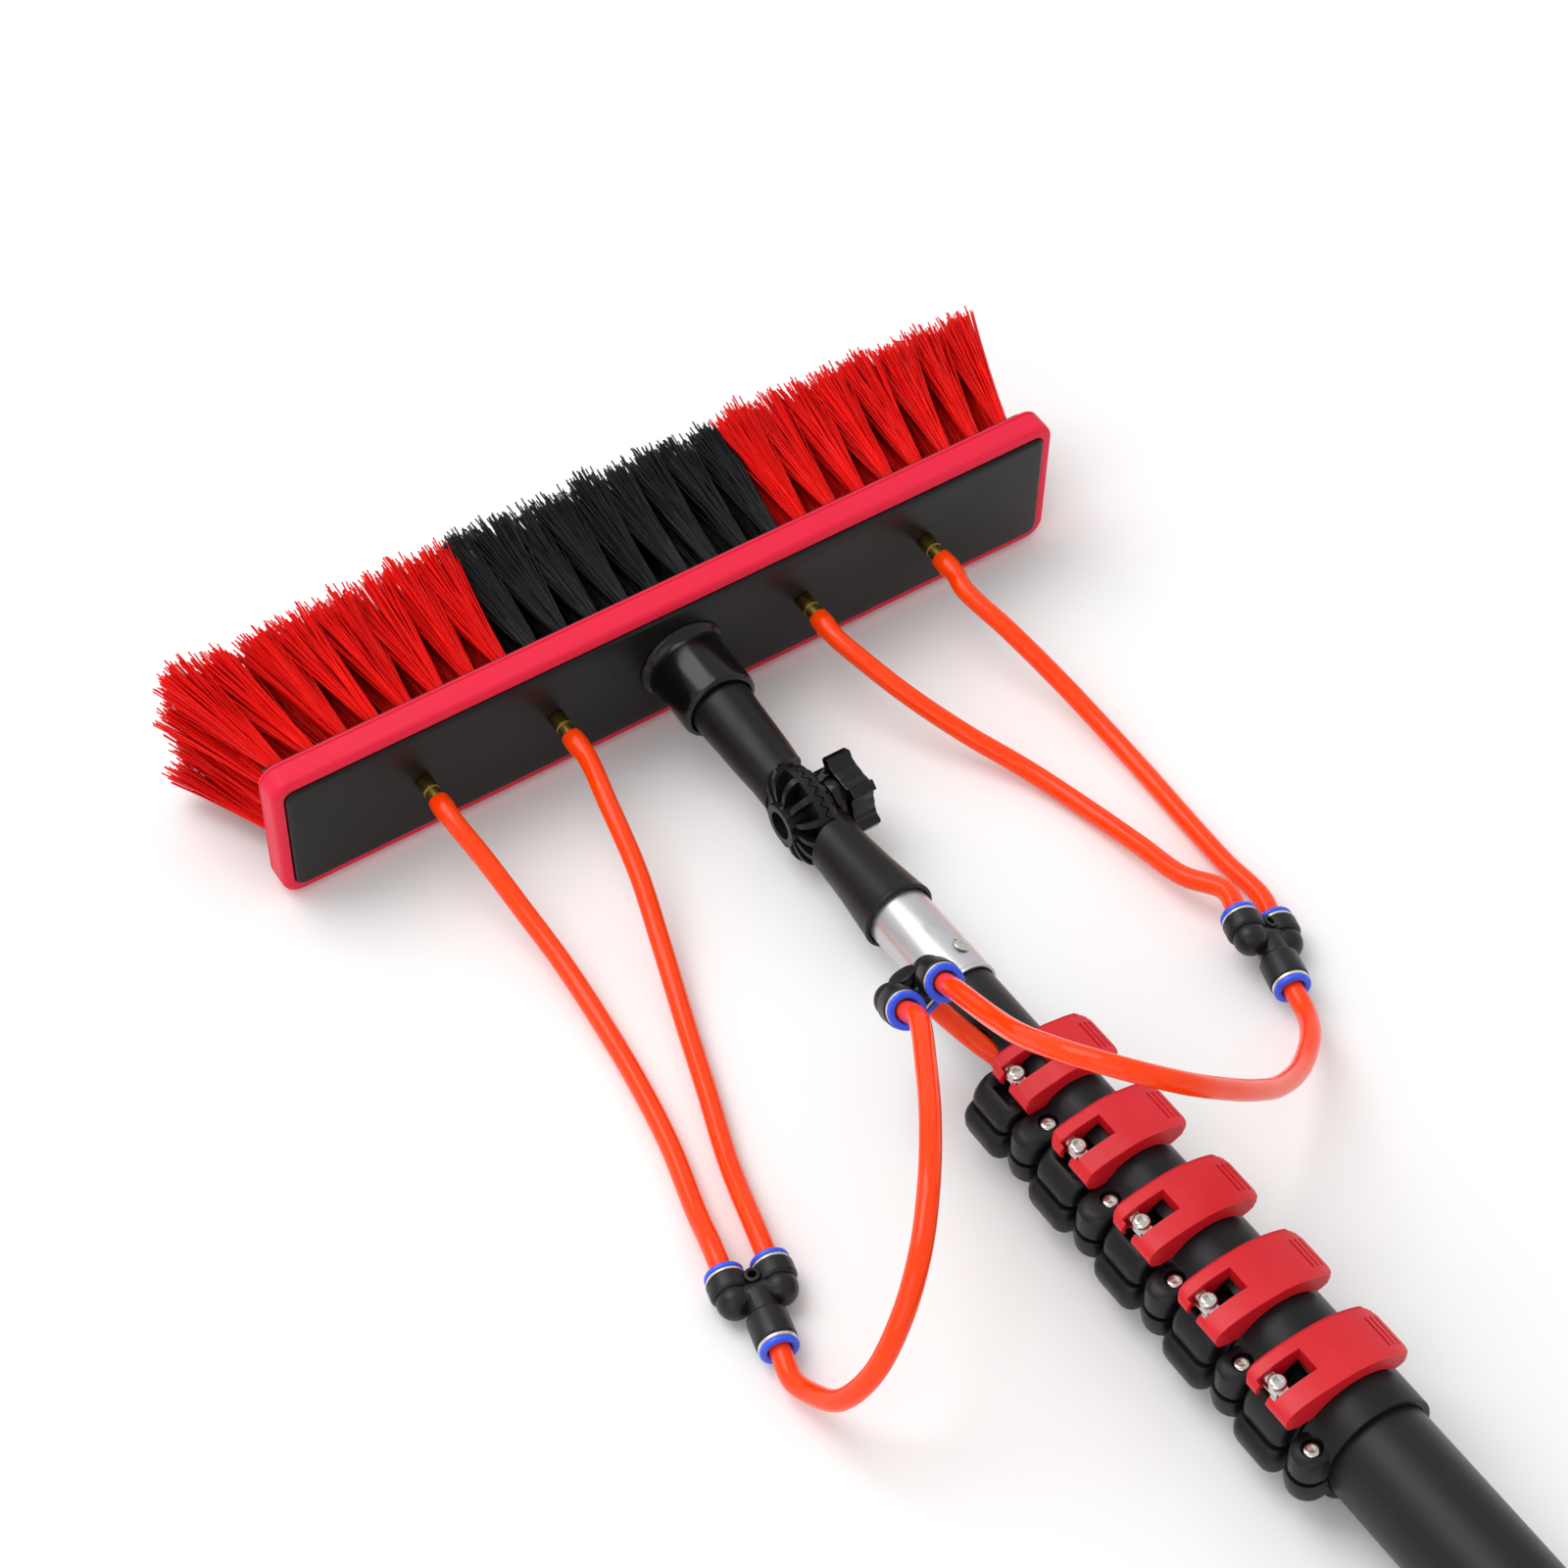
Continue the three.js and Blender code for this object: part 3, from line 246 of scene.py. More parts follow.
# Replaces each corner of a line or an outline by a short curve that starts reach mm before it.
def softened(points, reach, steps=3, closed=True):
    points = [Vector(point) for point in points]
    count = len(points)
    result = []
    for i, corner in enumerate(points):
        if not closed and i in (0, count - 1):
            result.append(corner)
            continue
        before, after = points[i - 1], points[(i + 1) % count]
        a = corner.lerp(before, min(0.45, reach / max(1e-6, (before - corner).length)))
        b = corner.lerp(after, min(0.45, reach / max(1e-6, (after - corner).length)))
        for step in range(steps + 1):
            t = step / steps
            result.append(a * (1 - t) ** 2 + corner * 2 * t * (1 - t) + b * t * t)
    return result


# Joins rings of equally many points. Rings of one point close to a pole.
def skinned(rings, closedAlong=False):
    shape = bmesh.new()
    made = [[shape.verts.new(point) for point in ring] for ring in rings]
    pairs = list(zip(made, made[1:])) + ([(made[-1], made[0])] if closedAlong else [])
    for first, second in pairs:
        count = max(len(first), len(second))
        for k in range(count):
            corners = [first[k % len(first)], first[(k + 1) % len(first)]]
            corners += [second[(k + 1) % len(second)], second[k % len(second)]]
            face = list(dict.fromkeys(corners))
            if len(face) > 2:
                shape.faces.new(face)
    if not closedAlong:
        for ring in (made[0], made[-1]):
            if len(ring) > 2:
                shape.faces.new(ring)
    bmesh.ops.recalc_face_normals(shape, faces=shape.faces)
    return shape


# Turns an outline of (radius, height) pairs round Y. One that starts and ends on the axis is solid.
def turned(outline, reach=0.5, sides=72):
    onAxis = outline[0][0] == 0 and outline[-1][0] == 0
    line = softened(outline, reach, closed=not onAxis)
    angles = [2 * pi * k / sides for k in range(sides)]
    rings = []
    for radius, height in line:
        if onAxis and radius < 1e-6:
            rings.append([(0, height, 0)])
        else:
            rings.append([(radius * cos(angle), height, radius * sin(angle)) for angle in angles])
    return skinned(rings, closedAlong=not onAxis)


def roundedRectangle(width, height, radius, steps=5):
    corners = [(1, 1, 0), (-1, 1, 90), (-1, -1, 180), (1, -1, 270)]
    points = []
    for x, y, start in corners:
        for step in range(steps + 1):
            angle = radians(start + 90 * step / steps)
            middle = (x * (width / 2 - radius), y * (height / 2 - radius))
            points.append((middle[0] + radius * cos(angle), middle[1] + radius * sin(angle)))
    return points


# Stands copies of an outline (first, second) behind each other at the levels (height, inset).
def layered(outlineAt, levels, place=lambda a, b, level: (a, b, level)):
    return skinned([[place(a, b, level) for a, b in outlineAt(inset)] for level, inset in levels])


def softEdges(low, high, edge, steps=3):
    angles = [radians(90 * step / steps) for step in range(steps + 1)]
    bottom = [(low + edge * (1 - sin(angle)), edge * (1 - cos(angle))) for angle in reversed(angles)]
    return bottom + [(high - (level - low), inset) for level, inset in reversed(bottom)]


def block(size, edge=0.4, middle=(0, 0, 0)):
    width, depth, height = size
    shape = layered(
        lambda inset: roundedRectangle(width - 2 * inset, depth - 2 * inset, max(0.05, edge - inset * 0.5)),
        softEdges(-height / 2, height / 2, edge),
    )
    bmesh.ops.translate(shape, verts=shape.verts, vec=middle)
    return shape


def rod(radius, length, sides=32, edge=0.2, middle=(0, 0, 0), along="Y"):
    half = length / 2
    shape = turned([(0, -half), (radius, -half), (radius, half), (0, half)], edge, sides)
    turns = {"X": (-pi / 2, "Z"), "Y": (0, "Z"), "Z": (pi / 2, "X")}
    angle, axis = turns[along]
    shape.transform(Matrix.Translation(middle) @ Matrix.Rotation(angle, 4, axis))
    return shape


def asMesh(shape, name="shape"):
    mesh = bpy.data.meshes.new(name)
    shape.to_mesh(mesh)
    shape.free()
    return mesh


# Joins and cuts closed shapes.
def carved(base, joins=(), cuts=()):
    body = bpy.data.objects.new("body", asMesh(base))
    scene.collection.objects.link(body)
    tools = []
    for operation, shapes in (("UNION", joins), ("DIFFERENCE", cuts)):
        for shape in shapes:
            tool = bpy.data.objects.new("tool", asMesh(shape))
            scene.collection.objects.link(tool)
            modifier = body.modifiers.new("cut", "BOOLEAN")
            modifier.operation = operation
            modifier.solver = "MANIFOLD"
            modifier.object = tool
            tools.append(tool)
    view = bpy.context.evaluated_depsgraph_get()
    mesh = bpy.data.meshes.new_from_object(body.evaluated_get(view))
    for used in [body, *tools]:
        bpy.data.objects.remove(used)
    result = bmesh.new()
    result.from_mesh(mesh)
    bpy.data.meshes.remove(mesh)
    return result


# A finished piece: its shape in millimetres goes to metres at place, with its finish, body and CAD nodes.
def newPiece(name, shape, finish, body, nodes=(), place=None, crease=32):
    mesh = asMesh(shape, name)
    mesh.transform(Matrix.Scale(0.001, 4) @ (place or Matrix.Identity(4)))
    mesh.shade_smooth()
    mesh.set_sharp_from_angle(angle=radians(crease))
    for used in [finish] if isinstance(finish, str) else finish:
        mesh.materials.append(materials[used])
    piece = bpy.data.objects.new(name, mesh)
    scene.collection.objects.link(piece)
    if nodes:
        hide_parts(*nodes)
    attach(piece, body)
    return piece


def joined(*shapes):
    mesh = bpy.data.meshes.new("joined")
    result = bmesh.new()
    for shape in shapes:
        shape.to_mesh(mesh)
        shape.free()
        result.from_mesh(mesh)
    bpy.data.meshes.remove(mesh)
    return result


# Push-in fittings: where each lies in the hinge's frame

hoseRadius = 4
seatGap = 0.3
fittingSizes = {
    "barrelRadius": 7.75,
    "waistRadius": 6.3,
    "elbowRadius": 6.6,
    "collarRadius": 7.35,
    "collarDepth": 2.0,
    "ringDepth": 1.3,
    "branchSpacing": 17,
    "boreDepth": 9,
}
lying = floorHeight + fittingSizes["barrelRadius"]
fittingPlaces = {
    "left": {"middle": (-131, -169, lying), "way": (0.24, 0.97, 0), "roll": 0, "branch": 13, "stem": 25},
    "right": {
        "middle": (112.7, -144.5, lying + 4.3), "way": (0.27, 0.96, 0), "roll": 30, "branch": 13, "stem": 25,
    },
    "centre": {
        "middle": (-27, -112, 25), "way": (-0.16, -0.8, 0.58), "roll": -16, "branch": 18.5, "stem": 10,
        "stemWay": (0.46, -0.55, -0.69),
    },
}


# Each fitting gets its frame, and the place of and way out of its three faces, in the row's frame.
def layFitting(fitting):
    way = Vector(fitting["way"]).normalized()
    turn = Quaternion(way, radians(fitting["roll"])) @ Vector((0, 1, 0)).rotation_difference(way)
    middle = hinge + Vector(fitting["middle"])
    stemWay = Vector(fitting.get("stemWay", -way)).normalized()
    half = fittingSizes["branchSpacing"] / 2
    faces = [(middle + turn @ Vector((x, fitting["branch"] + seatGap, 0)), way) for x in (-half, half)]
    faces.append((middle + stemWay * (fitting["stem"] + seatGap), stemWay))
    fitting["frame"] = Matrix.Translation(middle) @ turn.to_matrix().to_4x4()
    fitting["ownStemWay"] = turn.inverted() @ stemWay
    fitting["faces"] = faces


for fitting in fittingPlaces.values():
    layFitting(fitting)


# Hoses

# A smooth centripetal line through points, as in the CAD model, with a point about every step mm.
def smoothLine(points, step):
    points = [Vector(point) for point in points]
    points = [points[0] * 2 - points[1], *points, points[-1] * 2 - points[-2]]
    line = []
    for p0, p1, p2, p3 in zip(points, points[1:], points[2:], points[3:]):
        t1 = sqrt((p1 - p0).length)
        t2 = t1 + sqrt((p2 - p1).length)
        t3 = t2 + sqrt((p3 - p2).length)
        count = max(1, round((p2 - p1).length / step))
        for i in range(count):
            t = t1 + (t2 - t1) * i / count
            a1 = p0 * ((t1 - t) / t1) + p1 * (t / t1)
            a2 = p1 * ((t2 - t) / (t2 - t1)) + p2 * ((t - t1) / (t2 - t1))
            a3 = p2 * ((t3 - t) / (t3 - t2)) + p3 * ((t - t2) / (t3 - t2))
            b1 = a1 * ((t2 - t) / t2) + a2 * (t / t2)
            b2 = a2 * ((t3 - t) / (t3 - t1)) + a3 * ((t - t1) / (t3 - t1))
            line.append(b1 * ((t2 - t) / (t2 - t1)) + b2 * ((t - t1) / (t2 - t1)))
    return [*line, points[-2]]


def lineLength(line):
    return sum((b - a).length for a, b in zip(line, line[1:]))


# swell gives the radius's factor at a distance in mm from the first and from the last end.
# A hose without a body runs between the top section and the brush, and is left unattached.
def newHose(name, line, nodes, body=None, swell=None):
    data = bpy.data.curves.new(name, "CURVE")
    data.dimensions = "3D"
    data.bevel_depth = hoseRadius / 1000
    data.bevel_resolution = 6
    data.use_fill_caps = True
    spline = data.splines.new("POLY")
    spline.points.add(len(line) - 1)
    gone = 0
    total = lineLength(line)
    for i, point in enumerate(line):
        gone += (point - line[i - 1]).length if i else 0
        spline.points[i].co = (*(point / 1000), 1)
        spline.points[i].radius = swell(gone, total - gone) if swell else 1
    spline.use_smooth = True
    data.materials.append(materials["redPolyurethane"])
    piece = bpy.data.objects.new(name, data)
    scene.collection.objects.link(piece)
    if body:
        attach(piece, body)
    else:  # the real hose bends as the brush tilts; here it is baked into a mesh
        tube = bpy.data.meshes.new_from_object(piece.evaluated_get(bpy.context.evaluated_depsgraph_get()))
        bpy.data.objects.remove(piece)
        piece = bpy.data.objects.new(name, tube)
        scene.collection.objects.link(piece)
        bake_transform(piece)
    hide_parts(*nodes)
    return piece


hoses = {
    "lead": 12,  # mm of straight hose at each face
    "step": 3,
    "jetPlaces": (-117.4, -57.8, 57.8, 117.4),
    "jetFace": blockBack - 11 - seatGap,
    "barbReach": 9,  # mm of hose pushed over a jet's barb
    "barbSwell": 0.1,
    "colletReach": 6,  # mm of hose inside a fitting
}
feedRoutes = [
    [
        (-115, 50, 1), (-112.5, 25, -8), (-111, 0, -14.5), (-112, -30, -19), (-115.5, -62, -19.6),
        (-121, -94, -19.6), (-129, -125, -19),
    ],
    [(-62.5, 45, 5), (-68, 14, -4), (-76, -15, -13), (-86, -47, -18.5), (-97, -81, -19), (-108, -114, -19)],
    [
        (60, 58, 5), (68, 33, -2), (80, 8, -11), (92, -17, -17), (100, -45, -19), (104, -75, -16),
        (106, -100, -12),
    ],
    [
        (116, 62, 6.5), (121, 36, 0), (126.5, 10, -9), (130, -17, -16.5), (130.5, -45, -19.5),
        (129, -72, -19.5), (127, -100, -18),
    ],
]
leftLoop = [
    (-139, -216, -12), (-136, -230, -1), (-127, -238, 18), (-114, -236, 38), (-100, -226, 51),
    (-85, -209, 57), (-68, -185, 55), (-54, -162, 49),
]
rightLoop = [
    (94, -193, -6), (77, -208, 4), (56, -221, 22), (38, -229, 41), (20, -234, 60), (1, -235, 78),
    (-17, -226, 89), (-28, -209, 88), (-31, -188, 77), (-28, -166, 62),
]
supplyRoute = [
    (-14.5, -128.5, 6.5), (-10, -139, 2.5), (-5.5, -149, 0.5), (-2.5, -160, 0), (-0.5, -172, 0), (0, -186, 0),
]
innerHoseFoot = 126  # where the supply and the tail meet inside the lowest section


def routed(start, route, end):
    first = [start[0], start[0] + start[1] * hoses["lead"]]
    last = [end[0] + end[1] * hoses["lead"], end[0]]
    middle = [hinge + Vector(point) for point in route]
    return smoothLine([*first, *middle, *last], hoses["step"])


def extended(line, before, after):
    start = line[0] + (line[0] - line[1]).normalized() * before
    end = line[-1] + (line[-1] - line[-2]).normalized() * after
    return [start, *line, end]


jetFaces = []
for x in hoses["jetPlaces"]:
    place = brushFrame @ Vector((x, hoses["jetFace"], 0))
    jetFaces.append((place, brushFrame.to_3x3() @ Vector((0, -1, 0))))


def overBarb(fromJet, fromFitting):
    rings = sum(max(0, 1 - abs(fromJet - place) / 1.6) for place in (3, 6.5))
    stretched = max(0, min(1, (hoses["barbReach"] + 2 - fromJet) / 4))
    return 1 + hoses["barbSwell"] * min(1, rings) + 0.05 * stretched


feedEnds = [
    fittingPlaces["left"]["faces"][0], fittingPlaces["left"]["faces"][1],
    fittingPlaces["right"]["faces"][0], fittingPlaces["right"]["faces"][1],
]
for i in range(4):
    line = routed(jetFaces[i], feedRoutes[i], feedEnds[i])
    line = extended(line, 0.2, hoses["colletReach"])
    piece = newHose(f"feedHose{i + 1}", line, [f"feed_hose_{i + 1}"], swell=overBarb)

for side, route, branch in (("left", leftLoop, 0), ("right", rightLoop, 1)):
    line = routed(fittingPlaces[side]["faces"][2], route, fittingPlaces["centre"]["faces"][branch])
    line = extended(line, hoses["colletReach"], hoses["colletReach"])
    piece = newHose(f"{side}Loop", line, [f"loop_hose_{side}"], "section_6")

supplyFace = fittingPlaces["centre"]["faces"][2]
supplyStart = supplyFace[0] + supplyFace[1] * hoseRadius
supplyLine = smoothLine([supplyStart, *[hinge + Vector(point) for point in supplyRoute]], hoses["step"])
supplyLine = [supplyFace[0], *supplyLine, Vector((0, innerHoseFoot, 0))]
piece = newHose("supplyHose", supplyLine, ["supply_hose"], "section_6")

coil = {"middle": (115, 115), "outerRadius": 83, "pitch": 8.7, "turnsPerLayer": 3, "layers": 4, "steps": 48}


def coilPoint(turns):
    perLayer = coil["turnsPerLayer"]
    whole = perLayer * coil["layers"]
    inward = whole - turns if turns > whole else perLayer - abs(turns % (2 * perLayer) - perLayer)
    radius = coil["outerRadius"] - coil["pitch"] * inward
    layer = sum(max(0, min(1, 2 * (turns - k * perLayer) + 0.5)) for k in range(1, coil["layers"]))
    angle = 2 * pi * (turns - 0.25)
    x, y = coil["middle"]
    height = floorHeight + hoseRadius + layer * coil["pitch"]
    return Vector((x + radius * cos(angle), y + radius * sin(angle), height))


coilX, coilY = coil["middle"]
coilFoot = Vector((coilX - 2 * hoseRadius, coilY - coil["outerRadius"], floorHeight + hoseRadius))
tailLine = smoothLine([
    (0, innerHoseFoot - seatGap, 0), (0, 112, 0), (1.5, 100, 0), (6, 87, 0), (13, 75.5, 0), (21, 66, -1),
    (32, 55.5, -4), (46, 46, -9.5), (62, 38.5, -15), (80, 33.8, -19), (94, 32.1, -20), coilFoot,
], hoses["step"])
turnCount = coil["turnsPerLayer"] * coil["layers"] + 0.25
coilLine = [coilPoint(i / coil["steps"]) for i in range(int(turnCount * coil["steps"]) + 1)]
connectorRadius = 10
connectorHeight = floorHeight + connectorRadius
coilTop = coilLine[-1].z
runOut = smoothLine(
    [coilLine[-1]] + [Vector((coilX + x, coilY + y, z)) for x, y, z in (
        (86.8, 22, coilTop - 1), (87.4, 36, 0.5), (88, 50, -6), (88.5, 64, -11.5),
        (88.8, 78, connectorHeight + 0.2), (89, 90, connectorHeight),
    )],
    hoses["step"],
)
storedLine = tailLine + coilLine + runOut[1:]
piece = newHose("storedHose", storedLine, ["tail_hose", "hose_coil"], "section_1")
print("hoses laid")


def sweepAlong(line, radius, sides=20):
    rings = []
    across = Vector((0, 0, 1))
    for before, point, after in zip([line[0], *line], line, [*line[1:], line[-1]]):
        along = (after - before).normalized()
        across = (across - along * across.dot(along)).normalized()
        side = along.cross(across)
        angles = [2 * pi * k / sides for k in range(sides)]
        rings.append([point + (across * cos(angle) + side * sin(angle)) * radius for angle in angles])
    return skinned(rings)


def inFrame(shape, place):
    shape.transform(place)
    return shape


# Pole sections, guide bushes and butt cap

pole = {
    "wall": 1.2,
    "baseTop": 1140,
    "clampPitch": 39.5,
    "tubeTopSetback": 66,  # top of the last section, below the hinge
    "firstBush": 135,
    "bushStagger": 27,
    "bushFlange": 6,
    "bushSpigot": 16,
    "portClearance": 0.9,
    "capLength": 34,
    "capFloor": 4,
}


def portAlong(line, low, high):
    inWall = [point for point in line if low < (point.x ** 2 + point.z ** 2) ** 0.5 < high]
    return sweepAlong(inWall, hoseRadius + pole["portClearance"])


for section in range(1, 7):
    outside, bore = tubeRadii[section], tubeRadii[section] - pole["wall"]
    bushFoot = pole["firstBush"] + (section - 2) * pole["bushStagger"]
    foot = pole["capFloor"] + seatGap if section == 1 else bushFoot + pole["bushFlange"] + seatGap
    top = pole["baseTop"] + (section - 1) * pole["clampPitch"]
    if section == 6:
        top = hinge.y - pole["tubeTopSetback"]
    tube = turned([(bore, foot), (outside, foot), (outside, top), (bore, top)], 0.25)
    if section == 1:
        tube = carved(tube, cuts=[portAlong([p for p in tailLine if p.y < 100], 12, 30)])
    if section == 6:
        tube = carved(tube, cuts=[portAlong([p for p in supplyLine if p.y > 1300], 4, 21)])
    body = f"section_{section}"
    newPiece(f"sectionTube{section}", tube, "blackAnodisedTube", body, [f"section_tube_{section}"])
    if section > 1:
        flange, spigot, passage = tubeRadii[section - 1] - pole["wall"] - 0.15, bore - seatGap, 6.5
        shoulder = bushFoot + pole["bushFlange"]
        end = shoulder + pole["bushSpigot"]
        bush = turned([
            (passage, bushFoot), (flange, bushFoot), (flange, shoulder), (spigot, shoulder),
            (spigot, end), (passage, end),
        ], 0.4)
        newPiece(f"guideBush{section}", bush, "blackNylon", body, [f"guide_bush_{section}"])

capRadius = -floorHeight
capBore = tubeRadii[1] + seatGap
capOutline = [(0, 0), (capRadius - 2, 0), (capRadius, 2)]
for height in (9, 15, 21):
    capOutline += [(capRadius, height), (capRadius - 0.7, height + 0.7), (capRadius - 0.7, height + 2.3)]
    capOutline += [(capRadius, height + 3)]
capLength, capFloor = pole["capLength"], pole["capFloor"]
capOutline += [(capRadius, capLength - 1), (capRadius - 0.8, capLength), (capBore, capLength)]
capOutline += [(capBore, capFloor), (0, capFloor)]
newPiece("buttCap", turned(capOutline, 0.4, 96), "blackNylon", "section_1", ["butt_cap"])
print("pole made")


# Clamps. Each collar's frame has its origin on the pole's axis beside the bolt.

clampSizes = {
    "width": 25,
    "band": 14.5,
    "pitch": 39.5,
    "setback": 11,
    "collarWall": 2.75,
    "earReach": 30,
    "earLength": 22,
    "earCorner": 5,
    "leverGap": 1.2,
    "leverWidth": 23,
    "leverMiddle": -1.8,  # along the pole from the bolt
    "leverCorner": 4.5,
    "prongRadius": 5.4,
    "prongReach": 6.9,
    "slotWidth": 9.8,
    "mouthWidth": 5.2,
    "lip": 1.8,
    "slotReach": 12.6,
    "barrelRadius": 3.1,
    "barrelEndRadius": 2.2,
    "grooves": ((51, 5.55), (46, 6), (41, 6.45)),  # degrees about the pole, height over the inside
    "screwPlace": -20,
}


# A pair of ears before they are split. levels are (height, reach, inset).
def earStack(levels, length, corner):
    rings = []
    for height, reach, inset in levels:
        outline = roundedRectangle(reach - inset, length - 2 * inset, corner - inset)
        rings.append([(x - (reach - inset) / 2, y, height) for x, y in outline])
    return skinned(rings)


def makeCollar(clamp):
    size = clampSizes
    lower, upper = tubeRadii[clamp], tubeRadii[clamp + 1]
    outside = lower + size["collarWall"]
    foot = -size["width"] / 2 - size["band"]
    front = foot + size["pitch"] - seatGap
    shoulder = seatGap - size["setback"]
    screwPlace = size["screwPlace"]
    screwX, boltX = -(lower + 2.4), -(lower + 2.2)
    earTop = lower + 2 - prongReach(clamp) - seatGap
    reach = size["earReach"]
    drum = turned([(0, foot), (outside, foot), (outside, front), (0, front)], 0.6, 96)
    ears = earStack([
        (-13.6, reach - 1.8, 1.5), (-13.2, reach - 0.6, 0.7), (-12, reach + 0.8, 0.1), (-9, reach + 1.7, 0),
        (-5, reach + 1.9, 0), (-3, reach + 1.3, 0.1), (-1.5, reach + 0.3, 0.3), (-0.8, reach - 0.5, 0.5),
        (0.8, reach - 1.4, 0.6), (earTop * 0.25, reach - 1.3, 0.4), (earTop * 0.5, reach - 1.8, 0.4),
        (earTop * 0.76, reach - 3.5, 0.4), (earTop - 0.6, reach - 5.6, 0.5), (earTop, reach - 6.2, 1.1),
    ], size["earLength"], size["earCorner"])
    ears.transform(Matrix.Translation((0, 0.8, 0)))
    screwEars = earStack([
        (-11, 27.4, 2), (-10.4, 29, 0.8), (-9, 30.2, 0), (-4, 31, 0), (-0.8, 30.7, 0.2), (0.8, 30.2, 0.4),
        (6, 30, 0.2), (9.2, 29.4, 0.2), (10.6, 28.4, 0.8), (11.4, 26.8, 2),
    ], 14.8, 7.1)
    screwEars.transform(Matrix.Translation((0, screwPlace + 0.3, 0)))
    window = block((12.6, size["slotWidth"], 16), 0.02, (-16, 0, lower + 1))
    bore = turned([
        (0, foot - 1), (lower + seatGap, foot - 1), (lower + seatGap, shoulder), (upper + seatGap, shoulder),
        (upper + seatGap, front + 1), (0, front + 1),
    ], 0.01, 96)
    split = block((60, size["pitch"] + 4, 1.6), 0.01, (-30, (foot + front) / 2, 0))
    slitFront = -size["earLength"] / 2 - seatGap
    slit = block((60, 1.1, 80), 0.01, (-30 - size["collarWall"], slitFront - 0.55, 0))
    boltHole = rod(2.5, 60, 32, 0.01, (boltX, 0, 0), "Z")
    screwHole = rod(1.7, 60, 24, 0.01, (screwX, screwPlace, 0), "Z")
    recess = rod(3.8, 20, 40, 0.01, (screwX, screwPlace, 18.6), "Z")
    return carved(drum, [ears, screwEars], [bore, split, slit, boltHole, screwHole, recess, window])


# How far a lever's prongs reach behind their barrel. On thin tubes they must swing past the drum.
def prongReach(clamp):
    lower = tubeRadii[clamp]
    room = 2 ** 0.5 * (lower + 2.1) - (lower + clampSizes["collarWall"])
    return min(clampSizes["prongReach"], room - 0.6)


# The closed lever's outline, in X and Z about the pole's axis. inset draws it in, tipBack and forkBack
# take its tip and its fork back by mm.
def leverOutline(clamp, inset, tipBack, forkBack):
    size = clampSizes
    lower = tubeRadii[clamp]
    inside = lower + size["collarWall"] + size["leverGap"]
    barrel = Vector((-(lower + 2.2), lower + 2))
    smaller = tubeRadii[1] - lower  # levers stand higher over thinner tubes
    reach = prongReach(clamp)

    def polar(radius, angle, centre=Vector((0, 0))):
        return centre + Vector((cos(radians(angle)), sin(radians(angle)))) * radius

    cam = [polar(size["prongRadius"], angle, barrel) for angle in (268, 258, 248, 240)]
    heel = [(0.57, -4.2), (0.77, -3.5), (0.9, -2.6), (0.97, -1.4)]  # shares of the reach, and heights
    brow = [(0.99, -0.4), (0.93, 1), (0.76, 2.2)]
    cam += [barrel + Vector((-reach * share, rise)) for share, rise in heel]
    crown = [barrel + Vector((-reach * share, rise)) for share, rise in brow]
    crown += [barrel + Vector(step) for step in ((-3.4, 3.2), (-1.4, 4.1), (0.6, 4.7), (3.4, 5.3), (8, 6))]
    crown += [polar(inside + rise + smaller * extra, angle) for angle, rise, extra in (
        (98, 4.75, 0.05), (88, 4.3, 0.12), (78, 4.15, 0.16), (68, 4.3, 0.2), (58, 4.85, 0.3), (48, 5.7, 0.38),
        (41, 6.35, 0.42), (36.6, 6.8, 0.45),
    )]
    top = [Vector(point[:2]) for point in smoothLine([(x, y, 0) for x, y in crown], 1.4)]
    under = [polar(inside + rise + smaller * extra, angle) for angle, rise, extra in (
        (36, 6.3, 0.45), (36.2, 5.7, 0.45), (38.4, 3.6, 0.3), (41.6, 1.2, 0.1), (43.4, 0.2, 0), (45, 0, 0),
    )]
    under += [polar(inside, angle) for angle in range(51, 123, 7)]
    root = 180 - degrees(asin((barrel.y - size["prongRadius"]) / inside))
    outline = [*cam, *top, *under, polar(inside, root)]
    low = barrel.x - reach + forkBack
    high = max(point.x for point in outline) - tipBack
    moved = []
    for before, point, after in zip([outline[-1], *outline], outline, [*outline[1:], outline[0]]):
        way = (after - before).normalized()
        point = point + Vector((way.y, -way.x)) * -inset
        moved.append((min(high, max(low, point.x)), point.y))
    return moved


# How far a rounded corner takes an edge back at a place within radius mm of the corner.
def cornerBack(radius, fromEnd):
    short = max(0, radius - fromEnd)
    return radius - (radius ** 2 - short ** 2) ** 0.5


